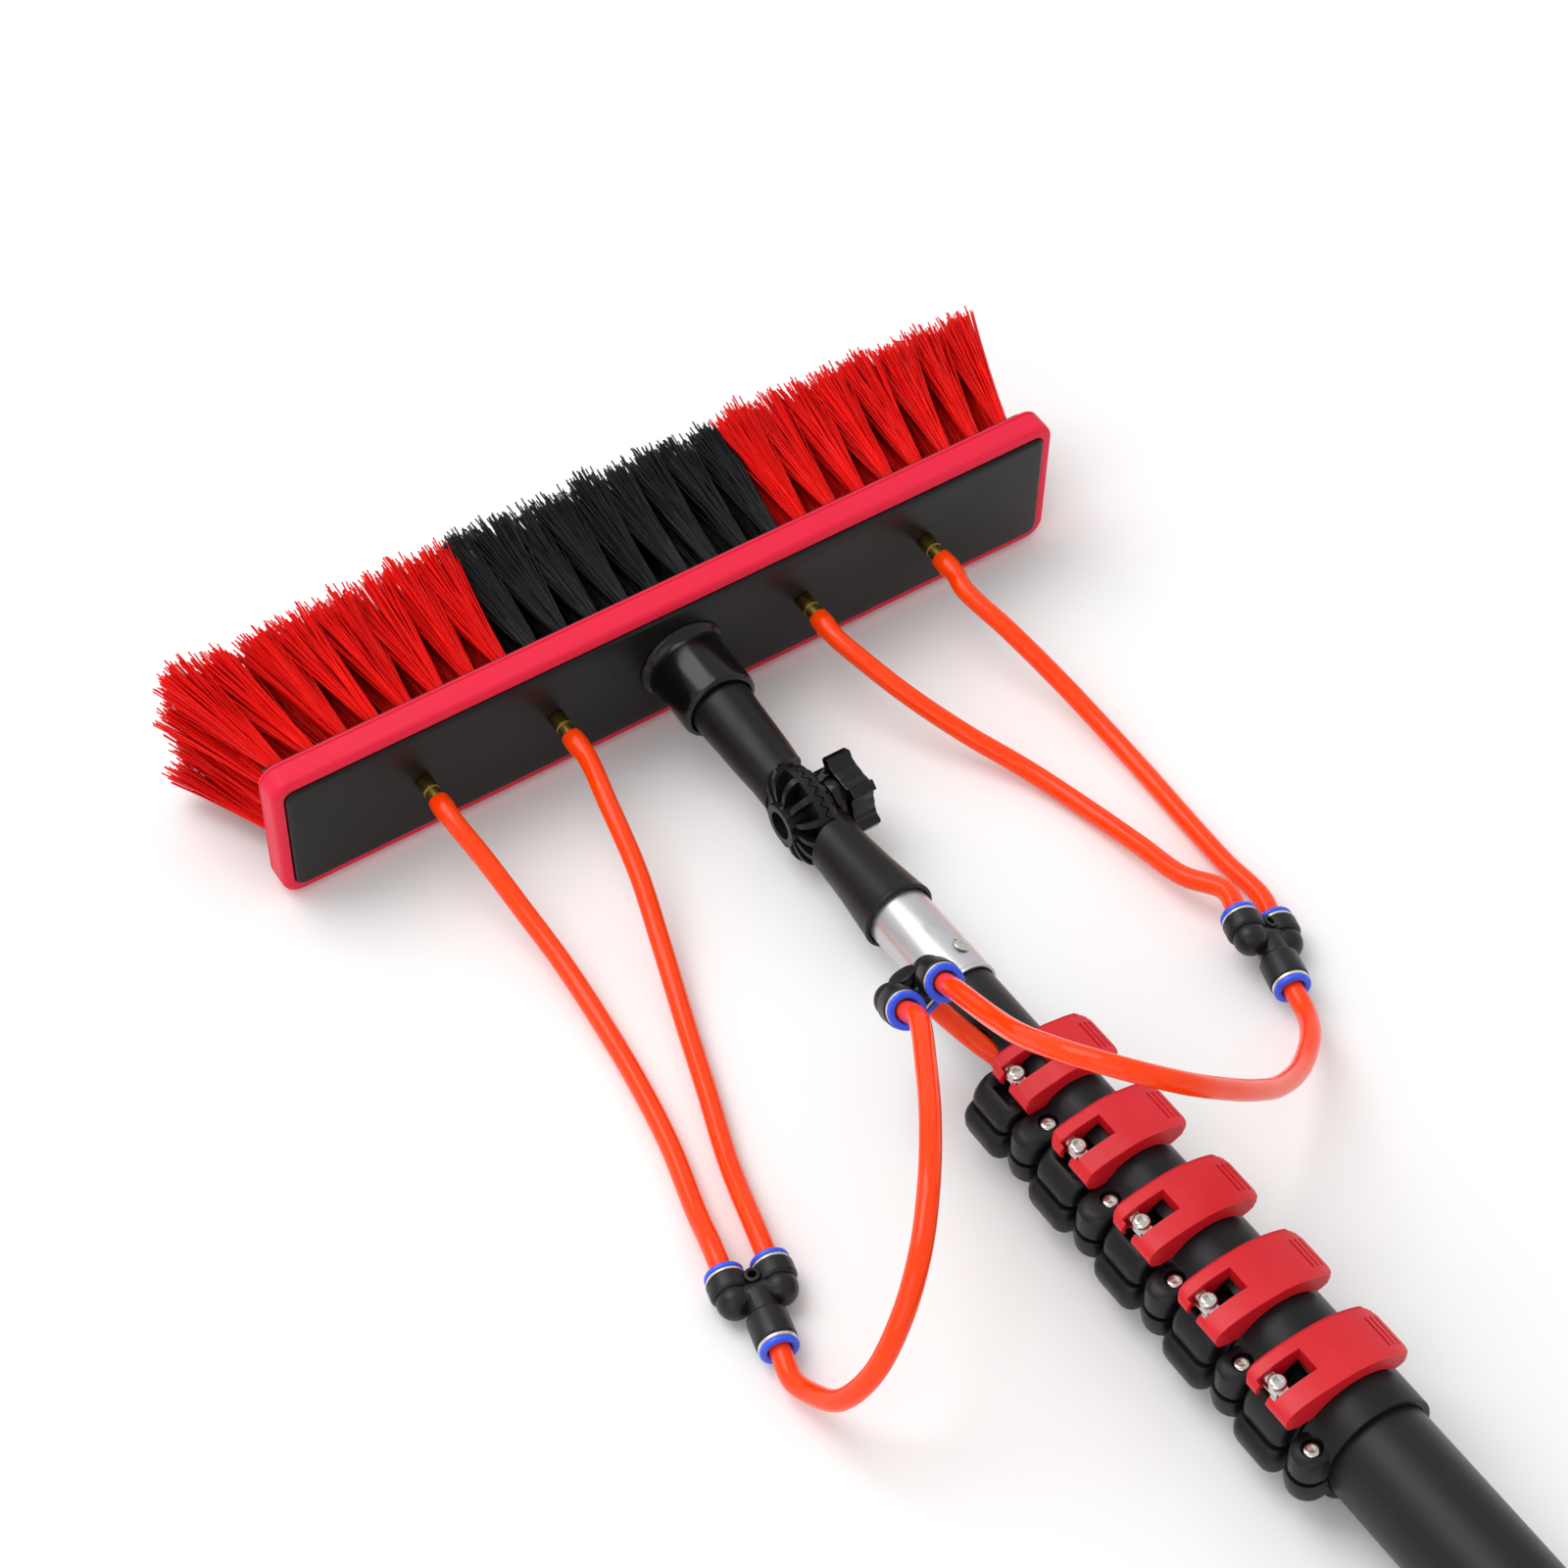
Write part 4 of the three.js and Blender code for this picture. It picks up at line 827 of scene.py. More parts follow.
def makeLever(clamp):
    size = clampSizes
    lower = tubeRadii[clamp]
    inside = lower + size["collarWall"] + size["leverGap"]
    width, corner, edge = size["leverWidth"], size["leverCorner"], 0.5
    steps = (0, 0.07, 0.2, edge, 1, 1.8, 2.8, corner)
    rings = []
    for place in [*steps, width / 2, *[width - step for step in reversed(steps)]]:
        near = min(place, width - place)
        forkBack = cornerBack(3.5, width - place) + cornerBack(0.8, place)
        outline = leverOutline(clamp, cornerBack(edge, near), cornerBack(corner, near), forkBack)
        rings.append([(x, size["leverMiddle"] - width / 2 + place, z) for x, z in outline])
    body = skinned(rings)
    barrel = (-(lower + 2.2), 0, lower + 2)
    low, high = barrel[0] - prongReach(clamp) + size["lip"], barrel[0] + size["slotReach"]
    slot = block((high - low, size["slotWidth"], 60), 0.2, ((low + high) / 2, 0, barrel[2]))
    mouth = block((8, size["mouthWidth"], 60), 0.2, (low - 3, 0, barrel[2]))
    barrelHole = rod(size["barrelEndRadius"] + 0.2, 17.6, 32, 0.01, barrel)
    grooves = []
    for groove, rise in size["grooves"]:
        angle = radians(groove)
        radius = inside + rise + (tubeRadii[1] - lower) * 0.4
        cutter = block((1.1, 13.4, 3.2), 0.3)
        cutter.transform(Matrix.Rotation(pi / 2 - angle, 4, "Y"))
        cutter.transform(Matrix.Translation((radius * cos(angle), size["leverMiddle"], radius * sin(angle))))
        grooves.append(cutter)
    return carved(body, cuts=[slot, mouth, barrelHole, *grooves])


def hexSocket(across, depth, middle, along="Z"):
    return rod(across / 3 ** 0.5, depth, 6, 0.01, middle, along)


# A domed screw head on Z from height up, and the socket to cut in it.
def buttonHead(radius, x, y, height):
    dome = turned([
        (0, 0), (radius, 0), (radius, 0.6), (radius * 0.94, 1.1), (radius * 0.8, 1.6), (radius * 0.64, 1.9),
        (radius * 0.55, 1.95), (0, 1.95),
    ], 0.3, 64)
    dome.transform(Matrix.Translation((x, y, height)) @ Matrix.Rotation(pi / 2, 4, "X"))
    return dome, hexSocket(radius * 0.86, 3.2, (x, y, height + 1.95))


def makeBolt(clamp):
    height, x = tubeRadii[clamp] + 2, -(tubeRadii[clamp] + 2.2)
    seat = height + 2.5
    shank = rod(2.2, height + 8, 32, 0.3, (x, 0, (height - 8) / 2), "Z")
    head, socket = buttonHead(3.4, x, 0, seat)
    ends = rod(clampSizes["barrelEndRadius"], 17, 40, 0.4, (x, 0, height))
    barrel = rod(clampSizes["barrelRadius"], clampSizes["slotWidth"] - 0.5, 48, 0.35, (x, 0, height))
    flat = block((10, 12, 4), 0.02, (x, 0, seat + 2.02))
    return carved(carved(barrel, [shank, ends], [flat]), [head], [socket])


def makeScrew(clamp):
    x, y = -(tubeRadii[clamp] + 2.4), clampSizes["screwPlace"]
    shank = rod(1.4, 16.4, 24, 0.3, (x, y, 1.2), "Z")
    head, socket = buttonHead(3.45, x, y, 9.1)
    return carved(shank, [head], [socket])


for clamp in range(1, 6):
    place = Matrix.Translation((0, clampPlaces[clamp].y, 0))
    body = f"section_{clamp}"
    newPiece(f"clampCollar{clamp}", makeCollar(clamp), "blackNylon", body, [f"clamp_collar_{clamp}"], place)
    lever = makeLever(clamp)
    newPiece(f"clampLever{clamp}", lever, "redNylon", f"lever_{clamp}", [f"clamp_lever_{clamp}"], place)
    newPiece(f"tensionBolt{clamp}", makeBolt(clamp), "nickelPlate", body, [f"tension_bolt_{clamp}"], place)
    newPiece(f"fixingScrew{clamp}", makeScrew(clamp), "nickelPlate", body, [f"fixing_screw_{clamp}"], place)
print("clamps made")


# Alloy sleeve and its rivet

sleeve = {"foot": 109, "head": 56, "wall": 1.2, "rivetPlace": 97.4, "rivetAngle": 23.5}
sleeveBore = tubeRadii[6] + seatGap
sleeveRadius = sleeveBore + sleeve["wall"]
foot, top = -sleeve["foot"], -sleeve["head"]
shell = turned([
    (sleeveBore, foot), (sleeveRadius, foot), (sleeveRadius, foot + 1.6), (sleeveRadius - 0.2, foot + 2),
    (sleeveRadius - 0.2, top), (sleeveBore, top),
], 0.25, 96)
onSleeve = Matrix.Rotation(radians(sleeve["rivetAngle"]), 4, "Y")
atRivet = Matrix.Translation((0, -sleeve["rivetPlace"], 0)) @ onSleeve
hole = inFrame(rod(1.9, 6, 24, 0.01, (0, 0, sleeveRadius), "Z"), atRivet)
shell = carved(shell, cuts=[hole])
newPiece("alloySleeve", shell, "satinAluminium", "section_6", ["alloy_sleeve"], headFrame)
rivet = turned([
    (0, -1.2), (1.6, -1.2), (1.6, 0.3), (3.4, 0.3), (3.3, 0.8), (2.4, 1.25), (1, 1.3), (0.9, 0.4), (0, 0.4),
], 0.25, 48)
rivet.transform(Matrix.Translation((0, 0, sleeveRadius)) @ Matrix.Rotation(pi / 2, 4, "X"))
rivet.transform(atRivet)
newPiece("sleeveRivet", rivet, "nickelPlate", "section_6", ["sleeve_rivet"], headFrame)


# Toothed tilt hinge. Its discs meet at x = 0. The socket's is on the knob's side.

tilt = {
    "radius": 20.5,
    "thickness": 9,
    "teeth": 28,
    "toothDepth": 2.2,
    "toothGap": 0.32,
    "crown": 3.2,  # how much further the disc away from the knob stands out
    "rimDepth": 3.5,  # solid ring behind the teeth
    "finCount": 13,
    "finWidth": 1.9,
    "hubRadius": 8.8,
    "waist": 11.3,
    "clearance": 0.8,
    "armRoom": 9.5,  # wells closer to an arm's middle than this stay closed
    "pivotHole": 3.3,
}


# A toothed disc that fills x from -thickness to 0, with wells between its fins that open at the rim.
def makeRosette(turn, crown):
    size = tilt
    count = 2 * size["teeth"]
    angles = [2 * pi * (i + turn) / count for i in range(count)]
    back, gap = -size["thickness"] - crown, size["toothGap"]

    def ring(radius, x, rise=0):
        return [
            (x + (rise if i % 2 == 0 else -rise), radius * cos(angle), radius * sin(angle))
            for i, angle in enumerate(angles)
        ]

    rise = size["toothDepth"] / 2
    shape = skinned([
        [(back, 0, 0)], ring(8.6, back), ring(9.1, back + 0.4), ring(9.4, back + 2), ring(12.4, back + 2.1),
        ring(15.4, back + 2.7), ring(17.6, back + 3.8), ring(19.2, back + 5.2), ring(20.1, back + 6.7),
        ring(size["radius"], back + 8.2),
        ring(size["radius"], -gap, rise), ring(6, -gap, rise * 6 / size["radius"]), [(-gap, 0, 0)],
    ])
    wells = []
    for i in range(size["finCount"]):
        angle = 2 * pi * (i + 0.5) / size["finCount"]
        outer = 2 * pi * size["radius"] / size["finCount"] - size["finWidth"]
        inner = 2 * pi * size["hubRadius"] / size["finCount"] - size["finWidth"] * 0.8
        low, high = size["hubRadius"], size["radius"] + 2
        corners = [(-inner / 2, low), (inner / 2, low), (outer / 2, high), (-outer / 2, high)]
        outline = softened(corners, 0.5, 2)
        rings = [[(x, b, a) for a, b in outline] for x in (back - 1, -size["rimDepth"])]
        well = skinned(rings)
        well.transform(Matrix.Rotation(angle, 4, "X"))
        wells.append(well)
    return shape, wells


def discSpace(middle):
    return rod(tilt["radius"] + tilt["clearance"], 2 * tilt["radius"], 96, 0.01, (middle, 0, 0), "X")


def clearOfArm(well, side):
    middle = sum((vert.co for vert in well.verts), Vector()) / len(well.verts)
    return abs(middle.z) > tilt["armRoom"] or middle.y * side < 0


def makeAdapterHalf(arm, turn, side):
    keep = tilt["radius"] - tilt["toothDepth"]
    arm = carved(arm, cuts=[discSpace(side * -keep)])
    disc, wells = makeRosette(turn, 0 if side > 0 else tilt["crown"])
    if side > 0:
        for shape in (disc, *wells):
            shape.transform(Matrix.Diagonal((-1, 1, 1, 1)))
            bmesh.ops.reverse_faces(shape, faces=shape.faces)
    armSide = -1 if side > 0 else 1
    openWells = [well for well in wells if clearOfArm(well, armSide)]
    disc = carved(disc, cuts=openWells)
    return carved(arm, [disc], [rod(tilt["pivotHole"], 80, 40, 0.01, (0, 0, 0), "X")])


mouth, deep, seat = -64, seatGap - sleeve["head"], sleeveRadius + seatGap
socketArm = turned([
    (0, deep), (seat, deep), (seat, mouth), (15, mouth), (15, mouth + 1), (14.6, mouth + 3),
    (12.5, mouth + 22), (11.8, -32), (tilt["waist"], -24), (tilt["waist"], -12), (0, -12),
], 0.6, 96)
restTurn = restTilt * tilt["teeth"] / 180  # in half teeth
newPiece(
    "adapterSocket", makeAdapterHalf(socketArm, 1 + restTurn, 1), "blackNylon",
    "section_6", ["adapter_socket"], headFrame, 28,
)
neckMouth = blockBack - 30
neckArm = turned([
    (0, 12), (tilt["waist"], 12), (tilt["waist"], 22), (11.9, 30), (12.7, neckMouth - 10),
    (13, neckMouth - 5), (13, neckMouth + 23), (12, neckMouth + 24), (0, neckMouth + 24),
], 0.6, 96)
headRecess = rod(5.9, 15.4, 48, 0.01, (-tilt["thickness"] - 4, 0, 0), "X")
neckShape = carved(makeAdapterHalf(neckArm, 0, -1), cuts=[headRecess])
newPiece("adapterNeck", neckShape, "blackNylon", "brush_head", ["adapter_neck"], brushFrame, 28)

knob = {
    "gap": 0.6, "depth": 14.6, "hubRadius": 8.5, "rimRadius": 12.9, "rimDepth": 10.6, "lobes": 5, "reach": 17,
    "lobeWidth": 4.3, "angle": 63,
}
pivotBack = -tilt["thickness"]
pivotFront = tilt["thickness"] + knob["gap"] + knob["rimDepth"]
pivot = rod(3, pivotFront - pivotBack - 1.7, 40, 0.3, ((pivotFront + pivotBack + 1.7) / 2, 0, 0), "X")
pivotHead = rod(5.6, 3.4, 48, 0.8, (pivotBack + 1.7, 0, 0), "X")
pivotSocket = hexSocket(5, 4, (pivotBack, 0, 0), "X")
pivot = carved(pivot, [pivotHead], [pivotSocket])
newPiece("pivotBolt", pivot, "blackenedSteel", "section_6", ["pivot_bolt"], headFrame)


# The rim's outline: shallow hollows between square-shouldered lobes.
def knobOutline(inset):
    points = []
    for i in range(knob["lobes"]):
        middle = knob["angle"] + i * 360 / knob["lobes"]
        half = knob["lobeWidth"] / 2
        foot, shoulder, tip = knob["rimRadius"] - 0.5, knob["rimRadius"] + 0.6, knob["reach"] - 0.2
        for across, radius in (
            (-half - 1.4, foot), (-half, shoulder), (-half, tip),
            (half, tip), (half, shoulder), (half + 1.4, foot),
        ):
            angle = radians(middle) + atan2(across, radius)
            points.append(Vector((cos(angle), sin(angle))) * ((radius ** 2 + across ** 2) ** 0.5 - inset))
        for share in (0.3, 0.5, 0.7):
            angle = radians(middle + share * 360 / knob["lobes"])
            points.append(Vector((cos(angle), sin(angle))) * (knob["rimRadius"] - 1 - inset))
    return softened(points, 0.6, 3)


knobSeat = tilt["thickness"] + knob["gap"]
hub = turned([
    (0, 0), (knob["hubRadius"], 0), (knob["hubRadius"] + 0.6, 4.2), (0, 4.2),
], 0.5, 64)
hub.transform(Matrix.Translation((knobSeat, 0, 0)) @ Matrix.Rotation(-pi / 2, 4, "Z"))
rimSeat = knobSeat + knob["depth"] - knob["rimDepth"]
rimSteps = softEdges(rimSeat, knobSeat + knob["depth"], 0.7)
rim = skinned([[(level, *point) for point in knobOutline(inset)] for level, inset in rimSteps])
dish = rod(9.5, 2.4, 64, 0.8, (knobSeat + knob["depth"] + 0.2, 0, 0), "X")
knobHole = rod(3.3, 23.2, 40, 0.01, (knobSeat, 0, 0), "X")
newPiece("starKnob", carved(hub, [rim], [dish, knobHole]), "blackAbs", "star_knob", ["star_knob"], headFrame)
print("hinge made")


# Brush head

head = {
    "width": 350,
    "height": 56.4,
    "depth": 17,
    "corner": 4,
    "back": blockBack,
    "socketLength": 30,
    "socketRadius": 16.5,
    "flangeRadius": 19.25,
    "neckBore": 13.3,
    "jetHole": 3.3,
}


# Stacks outlines drawn in X and Z along Y.
def standing(levels):
    rings = []
    for place, width, height, corner in levels:
        rings.append([(x, place, -y) for x, y in roundedRectangle(width, height, corner)])
    return skinned(rings)


def brushBlock():
    back, front = head["back"], head["back"] + head["depth"]
    width, height, corner = head["width"], head["height"], head["corner"]
    panel = standing([
        (back, width - 2.4, height - 2.4, corner - 0.9),
        (back + 0.2, width - 1.3, height - 1.3, corner - 0.5),
        (back + 0.6, width - 0.5, height - 0.5, corner - 0.2), (back + 1.3, width, height, corner),
        (front - 0.5, width, height, corner), (front, width - 1, height - 1, corner - 0.4),
    ])
    mouth = back - head["socketLength"]
    body, flange = head["socketRadius"], head["flangeRadius"]
    socket = turned([
        (0, mouth), (body - 1.3, mouth), (body - 0.2, mouth + 1), (body, mouth + 4), (body, back - 5.5),
        (body + 0.5, back - 3.4), (body + 1.6, back - 2.2), (flange - 0.4, back - 1.6), (flange, back - 0.8),
        (flange, back + 1), (0, back + 1),
    ], 0.8, 96)
    bore = turned([
        (0, mouth - 1), (head["neckBore"] + 0.8, mouth - 1), (head["neckBore"] + 0.8, mouth + 0.2),
        (head["neckBore"], mouth + 1.2), (head["neckBore"], mouth + 24.3), (0, mouth + 24.3),
    ], 0.1, 96)
    drills = [rod(head["jetHole"], 60, 32, 0.01, (x, back, 0)) for x in hoses["jetPlaces"]]
    shape = carved(panel, [socket], [bore, *drills])
    for face in shape.faces:
        face.material_index = int(face.calc_center_median().y < back - 0.02)
    return shape


newPiece("brushBlock", brushBlock(), ["panelAbs", "blackAbs"], "brush_head", ["brush_block"], brushFrame)

bumper = {"setback": 1.5, "depth": 12.5, "wall": 4.7, "seam": 10.3}
rimStart = head["back"] + bumper["setback"]
wall, depth, seam = bumper["wall"], bumper["depth"], bumper["seam"]
rimSection = [
    (0, 0.3), (0.3, 0), (wall - 2, 0), (wall - 1.1, 0.25), (wall - 0.4, 0.8), (wall - 0.05, 1.8), (wall, 3.5),
    (wall, seam - 0.45), (wall - 0.45, seam - 0.12), (wall - 0.45, seam + 0.12), (wall, seam + 0.45),
    (wall - 0.1, depth - 1), (wall - 0.5, depth - 0.35), (wall - 1.2, depth), (0.3, depth), (0, depth - 0.3),
]
rimRings = []
for out, level in rimSection:
    grown = 0.6 + 2 * out
    outline = roundedRectangle(head["width"] + grown, head["height"] + grown, 4.3 + out * 0.75, 8)
    rimRings.append([(x, rimStart + level, -y) for x, y in outline])
rim = skinned(rimRings, closedAlong=True)
newPiece("blockBumper", rim, "redRubber", "brush_head", ["block_bumper"], brushFrame, 40)

jetOutline = [
    (0, -13), (1.3, -13), (3.1, -12), (3.1, -6.4), (3.5, -6.2), (3.6, -5.8), (3.6, -0.3), (3, -0.3), (3, 17),
    (1.2, 17), (1.2, 6), (0, 6),
]
for i, x in enumerate(hoses["jetPlaces"]):
    jet = turned(jetOutline, 0.2, 40)
    place = brushFrame @ Matrix.Translation((x, head["back"], 0))
    newPiece(f"waterJet{i + 1}", jet, "dullBrass", "brush_head", [f"water_jet_{i + 1}"], place)
print("brush block made")


# Bristles: tufts of strands that fan out and lean away from the block's middle

def bristleTree():
    tree = bpy.data.node_groups.new("tuftedBristles", "GeometryNodeTree")
    kinds = {
        "Geometry": "Geometry", "Columns": "Int", "Rows": "Int", "Pitch": "Float", "Middle": "Vector",
        "Strands": "Int", "Length": "Float", "Foot": "Float", "Spread": "Float", "Splay": "Vector",
        "Half Size": "Vector", "Thickness": "Float", "Ragged": "Float", "Seed": "Int", "Finish": "Material",
    }
    for name, kind in kinds.items():
        tree.interface.new_socket(name=name, in_out="INPUT", socket_type=f"NodeSocket{kind}")
    tree.interface.new_socket(name="Geometry", in_out="OUTPUT", socket_type="NodeSocketGeometry")
    given = addNode(tree, "NodeGroupInput").outputs
    times, plus = {"operation": "MULTIPLY"}, {"operation": "ADD"}
    point = addNode(tree, "GeometryNodeInputPosition")

    # Tufts stand on a grid round Middle.
    sides = {}
    for count in ("Columns", "Rows"):
        gaps = addNode(tree, "ShaderNodeMath", {"operation": "SUBTRACT"}, {0: given[count], 1: 1.0})
        sides[count] = addNode(tree, "ShaderNodeMath", times, {0: gaps, 1: given["Pitch"]})
    grid = addNode(tree, "GeometryNodeMeshGrid", inputs={
        "Size X": sides["Columns"], "Size Y": sides["Rows"],
        "Vertices X": given["Columns"], "Vertices Y": given["Rows"],
    })
    tufts = addNode(tree, "GeometryNodeMeshToPoints", inputs={"Mesh": grid})
    tuftPlace = addNode(tree, "ShaderNodeVectorMath", plus, {0: point, 1: given["Middle"]})
    placed = addNode(tree, "GeometryNodeSetPosition", inputs={"Geometry": tufts, "Position": tuftPlace})
    strands = addNode(
        tree, "GeometryNodeDuplicateElements", {"domain": "POINT"},
        {"Geometry": placed, "Amount": given["Strands"]},
    )

    # Seven random numbers a strand
    shortest = addNode(tree, "ShaderNodeMath", {"operation": "SUBTRACT"}, {0: 1.0, 1: given["Ragged"]})
    stray = 0.0016
    ranges = {
        "turn": (0.0, 2 * pi), "distance": (0.0, 1.0), "strayX": (-stray, stray), "strayY": (-stray, stray),
        "twist": (0.0, 2 * pi), "length": (shortest, 1.0), "shade": (0.0, 1.0),
    }
    drawn = {}
    for name, (low, high) in ranges.items():
        seed = addNode(tree, "ShaderNodeMath", plus, {0: given["Seed"], 1: len(drawn) + 1})
        choice = {2: low, 3: high, "Seed": seed}
        drawn[name] = addNode(tree, "FunctionNodeRandomValue", {"data_type": "FLOAT"}, choice).outputs[1]

    # Each strand's place in its tuft's disc, whose radius is 1
    reach = addNode(tree, "ShaderNodeMath", {"operation": "SQRT"}, {0: drawn["distance"]})
    steps = []
    for operation in ("COSINE", "SINE"):
        way = addNode(tree, "ShaderNodeMath", {"operation": operation}, {0: drawn["turn"]})
        steps.append(addNode(tree, "ShaderNodeMath", times, {0: way, 1: reach}))
    disc = addNode(tree, "ShaderNodeCombineXYZ", inputs={0: steps[0], 1: steps[1]})
    footStep, fan = [
        addNode(tree, "ShaderNodeVectorMath", {"operation": "SCALE"}, {0: disc, "Scale": given[name]})
        for name in ("Foot", "Spread")
    ]
    feet = addNode(tree, "GeometryNodeSetPosition", inputs={"Geometry": strands, "Offset": footStep})

    # Its lean: the block's splay, the tuft's fan, a drift that clumps strands, and its own stray
    share = addNode(tree, "ShaderNodeVectorMath", {"operation": "DIVIDE"}, {0: point, 1: given["Half Size"]})
    squared = addNode(tree, "ShaderNodeVectorMath", times, {0: share, 1: share})
    cubed = addNode(tree, "ShaderNodeVectorMath", times, {0: share, 1: squared})
    splay = addNode(tree, "ShaderNodeVectorMath", times, {0: cubed, 1: given["Splay"]})
    noise = addNode(tree, "ShaderNodeTexNoise", inputs={"Vector": point, "Scale": 210.0, "Detail": 1.0})
    clump = {0: noise.outputs["Color"], 1: (0.5, 0.5, 0.5)}
    centred = addNode(tree, "ShaderNodeVectorMath", {"operation": "SUBTRACT"}, clump)
    drift = addNode(tree, "ShaderNodeVectorMath", times, {0: centred, 1: (0.022, 0.022, 0.0)})
    own = addNode(
        tree, "ShaderNodeCombineXYZ", inputs={0: drawn["strayX"], 1: drawn["strayY"], 2: given["Length"]},
    )
    shared = addNode(tree, "ShaderNodeVectorMath", plus, {0: splay, 1: fan})
    single = addNode(tree, "ShaderNodeVectorMath", plus, {0: drift, 1: own})
    lean = addNode(tree, "ShaderNodeVectorMath", plus, {0: shared, 1: single})
    twist = addNode(
        tree, "FunctionNodeAxisAngleToRotation", inputs={"Axis": (0, 0, 1), "Angle": drawn["twist"]},
    )
    aligned = addNode(
        tree, "FunctionNodeAlignRotationToVector", {"axis": "Z"}, {"Rotation": twist, "Vector": lean},
    )

    # One slightly bent strand
    half = addNode(tree, "ShaderNodeMath", times, {0: given["Length"], 1: 0.5})
    bend = addNode(tree, "ShaderNodeMath", times, {0: given["Length"], 1: 0.045})
    line = addNode(tree, "GeometryNodeCurveQuadraticBezier", inputs={
        "Resolution": 4, "Start": (0, 0, 0),
        "Middle": addNode(tree, "ShaderNodeCombineXYZ", inputs={2: half}),
        "End": addNode(tree, "ShaderNodeCombineXYZ", inputs={0: bend, 2: given["Length"]}),
    })
    profile = addNode(
        tree, "GeometryNodeCurvePrimitiveCircle", inputs={"Resolution": 3, "Radius": given["Thickness"]},
    )
    strand = addNode(
        tree, "GeometryNodeCurveToMesh", inputs={"Curve": line, "Profile Curve": profile, "Fill Caps": True},
    )

    size = addNode(tree, "ShaderNodeCombineXYZ", inputs={0: 1.0, 1: 1.0, 2: drawn["length"]})
    grown = addNode(tree, "GeometryNodeInstanceOnPoints", inputs={
        "Points": feet, "Instance": strand, "Rotation": aligned, "Scale": size,
    })
    shaded = addNode(
        tree, "GeometryNodeStoreNamedAttribute", {"data_type": "FLOAT", "domain": "INSTANCE"},
        {"Geometry": grown, "Name": "strandShade", "Value": drawn["shade"]},
    )
    real = addNode(tree, "GeometryNodeRealizeInstances", inputs={"Geometry": shaded})
    smooth = addNode(tree, "GeometryNodeSetShadeSmooth", inputs={"Geometry": real})
    finished = addNode(
        tree, "GeometryNodeSetMaterial", inputs={"Geometry": smooth, "Material": given["Finish"]},
    )
    both = addNode(tree, "GeometryNodeJoinGeometry", inputs={0: given["Geometry"]})
    tree.links.new(finished.outputs[0], both.inputs[0])
    addNode(tree, "NodeGroupOutput", inputs={0: both})
    return tree


bristles = {
    "pitch": 14,
    "rows": 4,
    "columns": {"left": (0, 8), "middle": (8, 9), "right": (17, 8)},
    "strands": 220,
    "length": 62,
    "foot": 2.6,  # radius of a tuft at the backing
    "spread": 6.2,  # how far a tuft's outer strands lean out at their tips
    "splay": (17, 9),  # how far the end tufts and the side tufts lean out at their tips
    "thickness": 0.36,
    "ragged": 0.1,
    "inset": 2.5,  # of the backing, inside the block's long edges
    "backing": 2,
    "finishes": {"left": "redBristle", "middle": "blackBristle", "right": "redBristle"},
}


# X across the block, Y down it and Z out of it become X, -Z and Y of the brush.
outOfBlock = Matrix.Rotation(-pi / 2, 4, "X")
tree = bristleTree()
sockets = {item.name: item.identifier for item in tree.interface.items_tree if item.in_out == "INPUT"}
allColumns = sum(count for first, count in bristles["columns"].values())
backingFoot = head["back"] + head["depth"] + seatGap
for zone, (first, count) in bristles["columns"].items():
    pitch = bristles["pitch"]
    middle = (first + (count - 1) / 2 - (allColumns - 1) / 2) * pitch
    backingHeight = head["height"] - 2 * bristles["inset"]
    backing = block((count * pitch - seatGap, backingHeight, bristles["backing"]), 0.3, (middle, 0, 1))
    jets = [x for x in hoses["jetPlaces"] if abs(x - middle) < count * pitch / 2]
    drills = [rod(3.3, 20, 32, 0.01, (x, 0, 0), "Z") for x in jets]
    mesh = asMesh(carved(backing, cuts=drills), f"bristles{zone.title()}")
    mesh.transform(Matrix.Scale(0.001, 4))
    mesh.materials.append(materials["blackNylon"])
    piece = bpy.data.objects.new(mesh.name, mesh)
    scene.collection.objects.link(piece)
    modifier = piece.modifiers.new("bristles", "NODES")
    modifier.node_group = tree
    values = {
        "Columns": count, "Rows": bristles["rows"], "Pitch": pitch / 1000,
        "Middle": (middle / 1000, 0, (bristles["backing"] - 0.5) / 1000),
        "Strands": bristles["strands"], "Length": bristles["length"] / 1000,
        "Foot": bristles["foot"] / 1000, "Spread": bristles["spread"] / 1000,
        "Splay": (*[lean / 1000 for lean in bristles["splay"]], 0),
        "Half Size": (head["width"] / 2000, head["height"] / 2000, 1.0),
        "Thickness": bristles["thickness"] / 1000, "Ragged": bristles["ragged"], "Seed": 100 * first + 7,
        "Finish": materials[bristles["finishes"][zone]],
    }
    for name, value in values.items():
        modifier[sockets[name]] = value
    grown = bpy.data.meshes.new_from_object(piece.evaluated_get(bpy.context.evaluated_depsgraph_get()))
    piece.modifiers.remove(modifier)
    piece.data = grown
    grown.transform(
        Matrix.Scale(0.001, 4) @ brushFrame @ Matrix.Translation((0, backingFoot, 0))
        @ outOfBlock @ Matrix.Scale(1000, 4)
    )
    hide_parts(f"bristles_{zone}")
    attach(piece, "brush_head")
print("bristles made")


# Push-in fittings

fittingFinishes = ["charcoalPbt", "paleNickel", "blueAcetal"]


def painted(shape, index):
    for face in shape.faces:
        face.material_index = index
    return shape


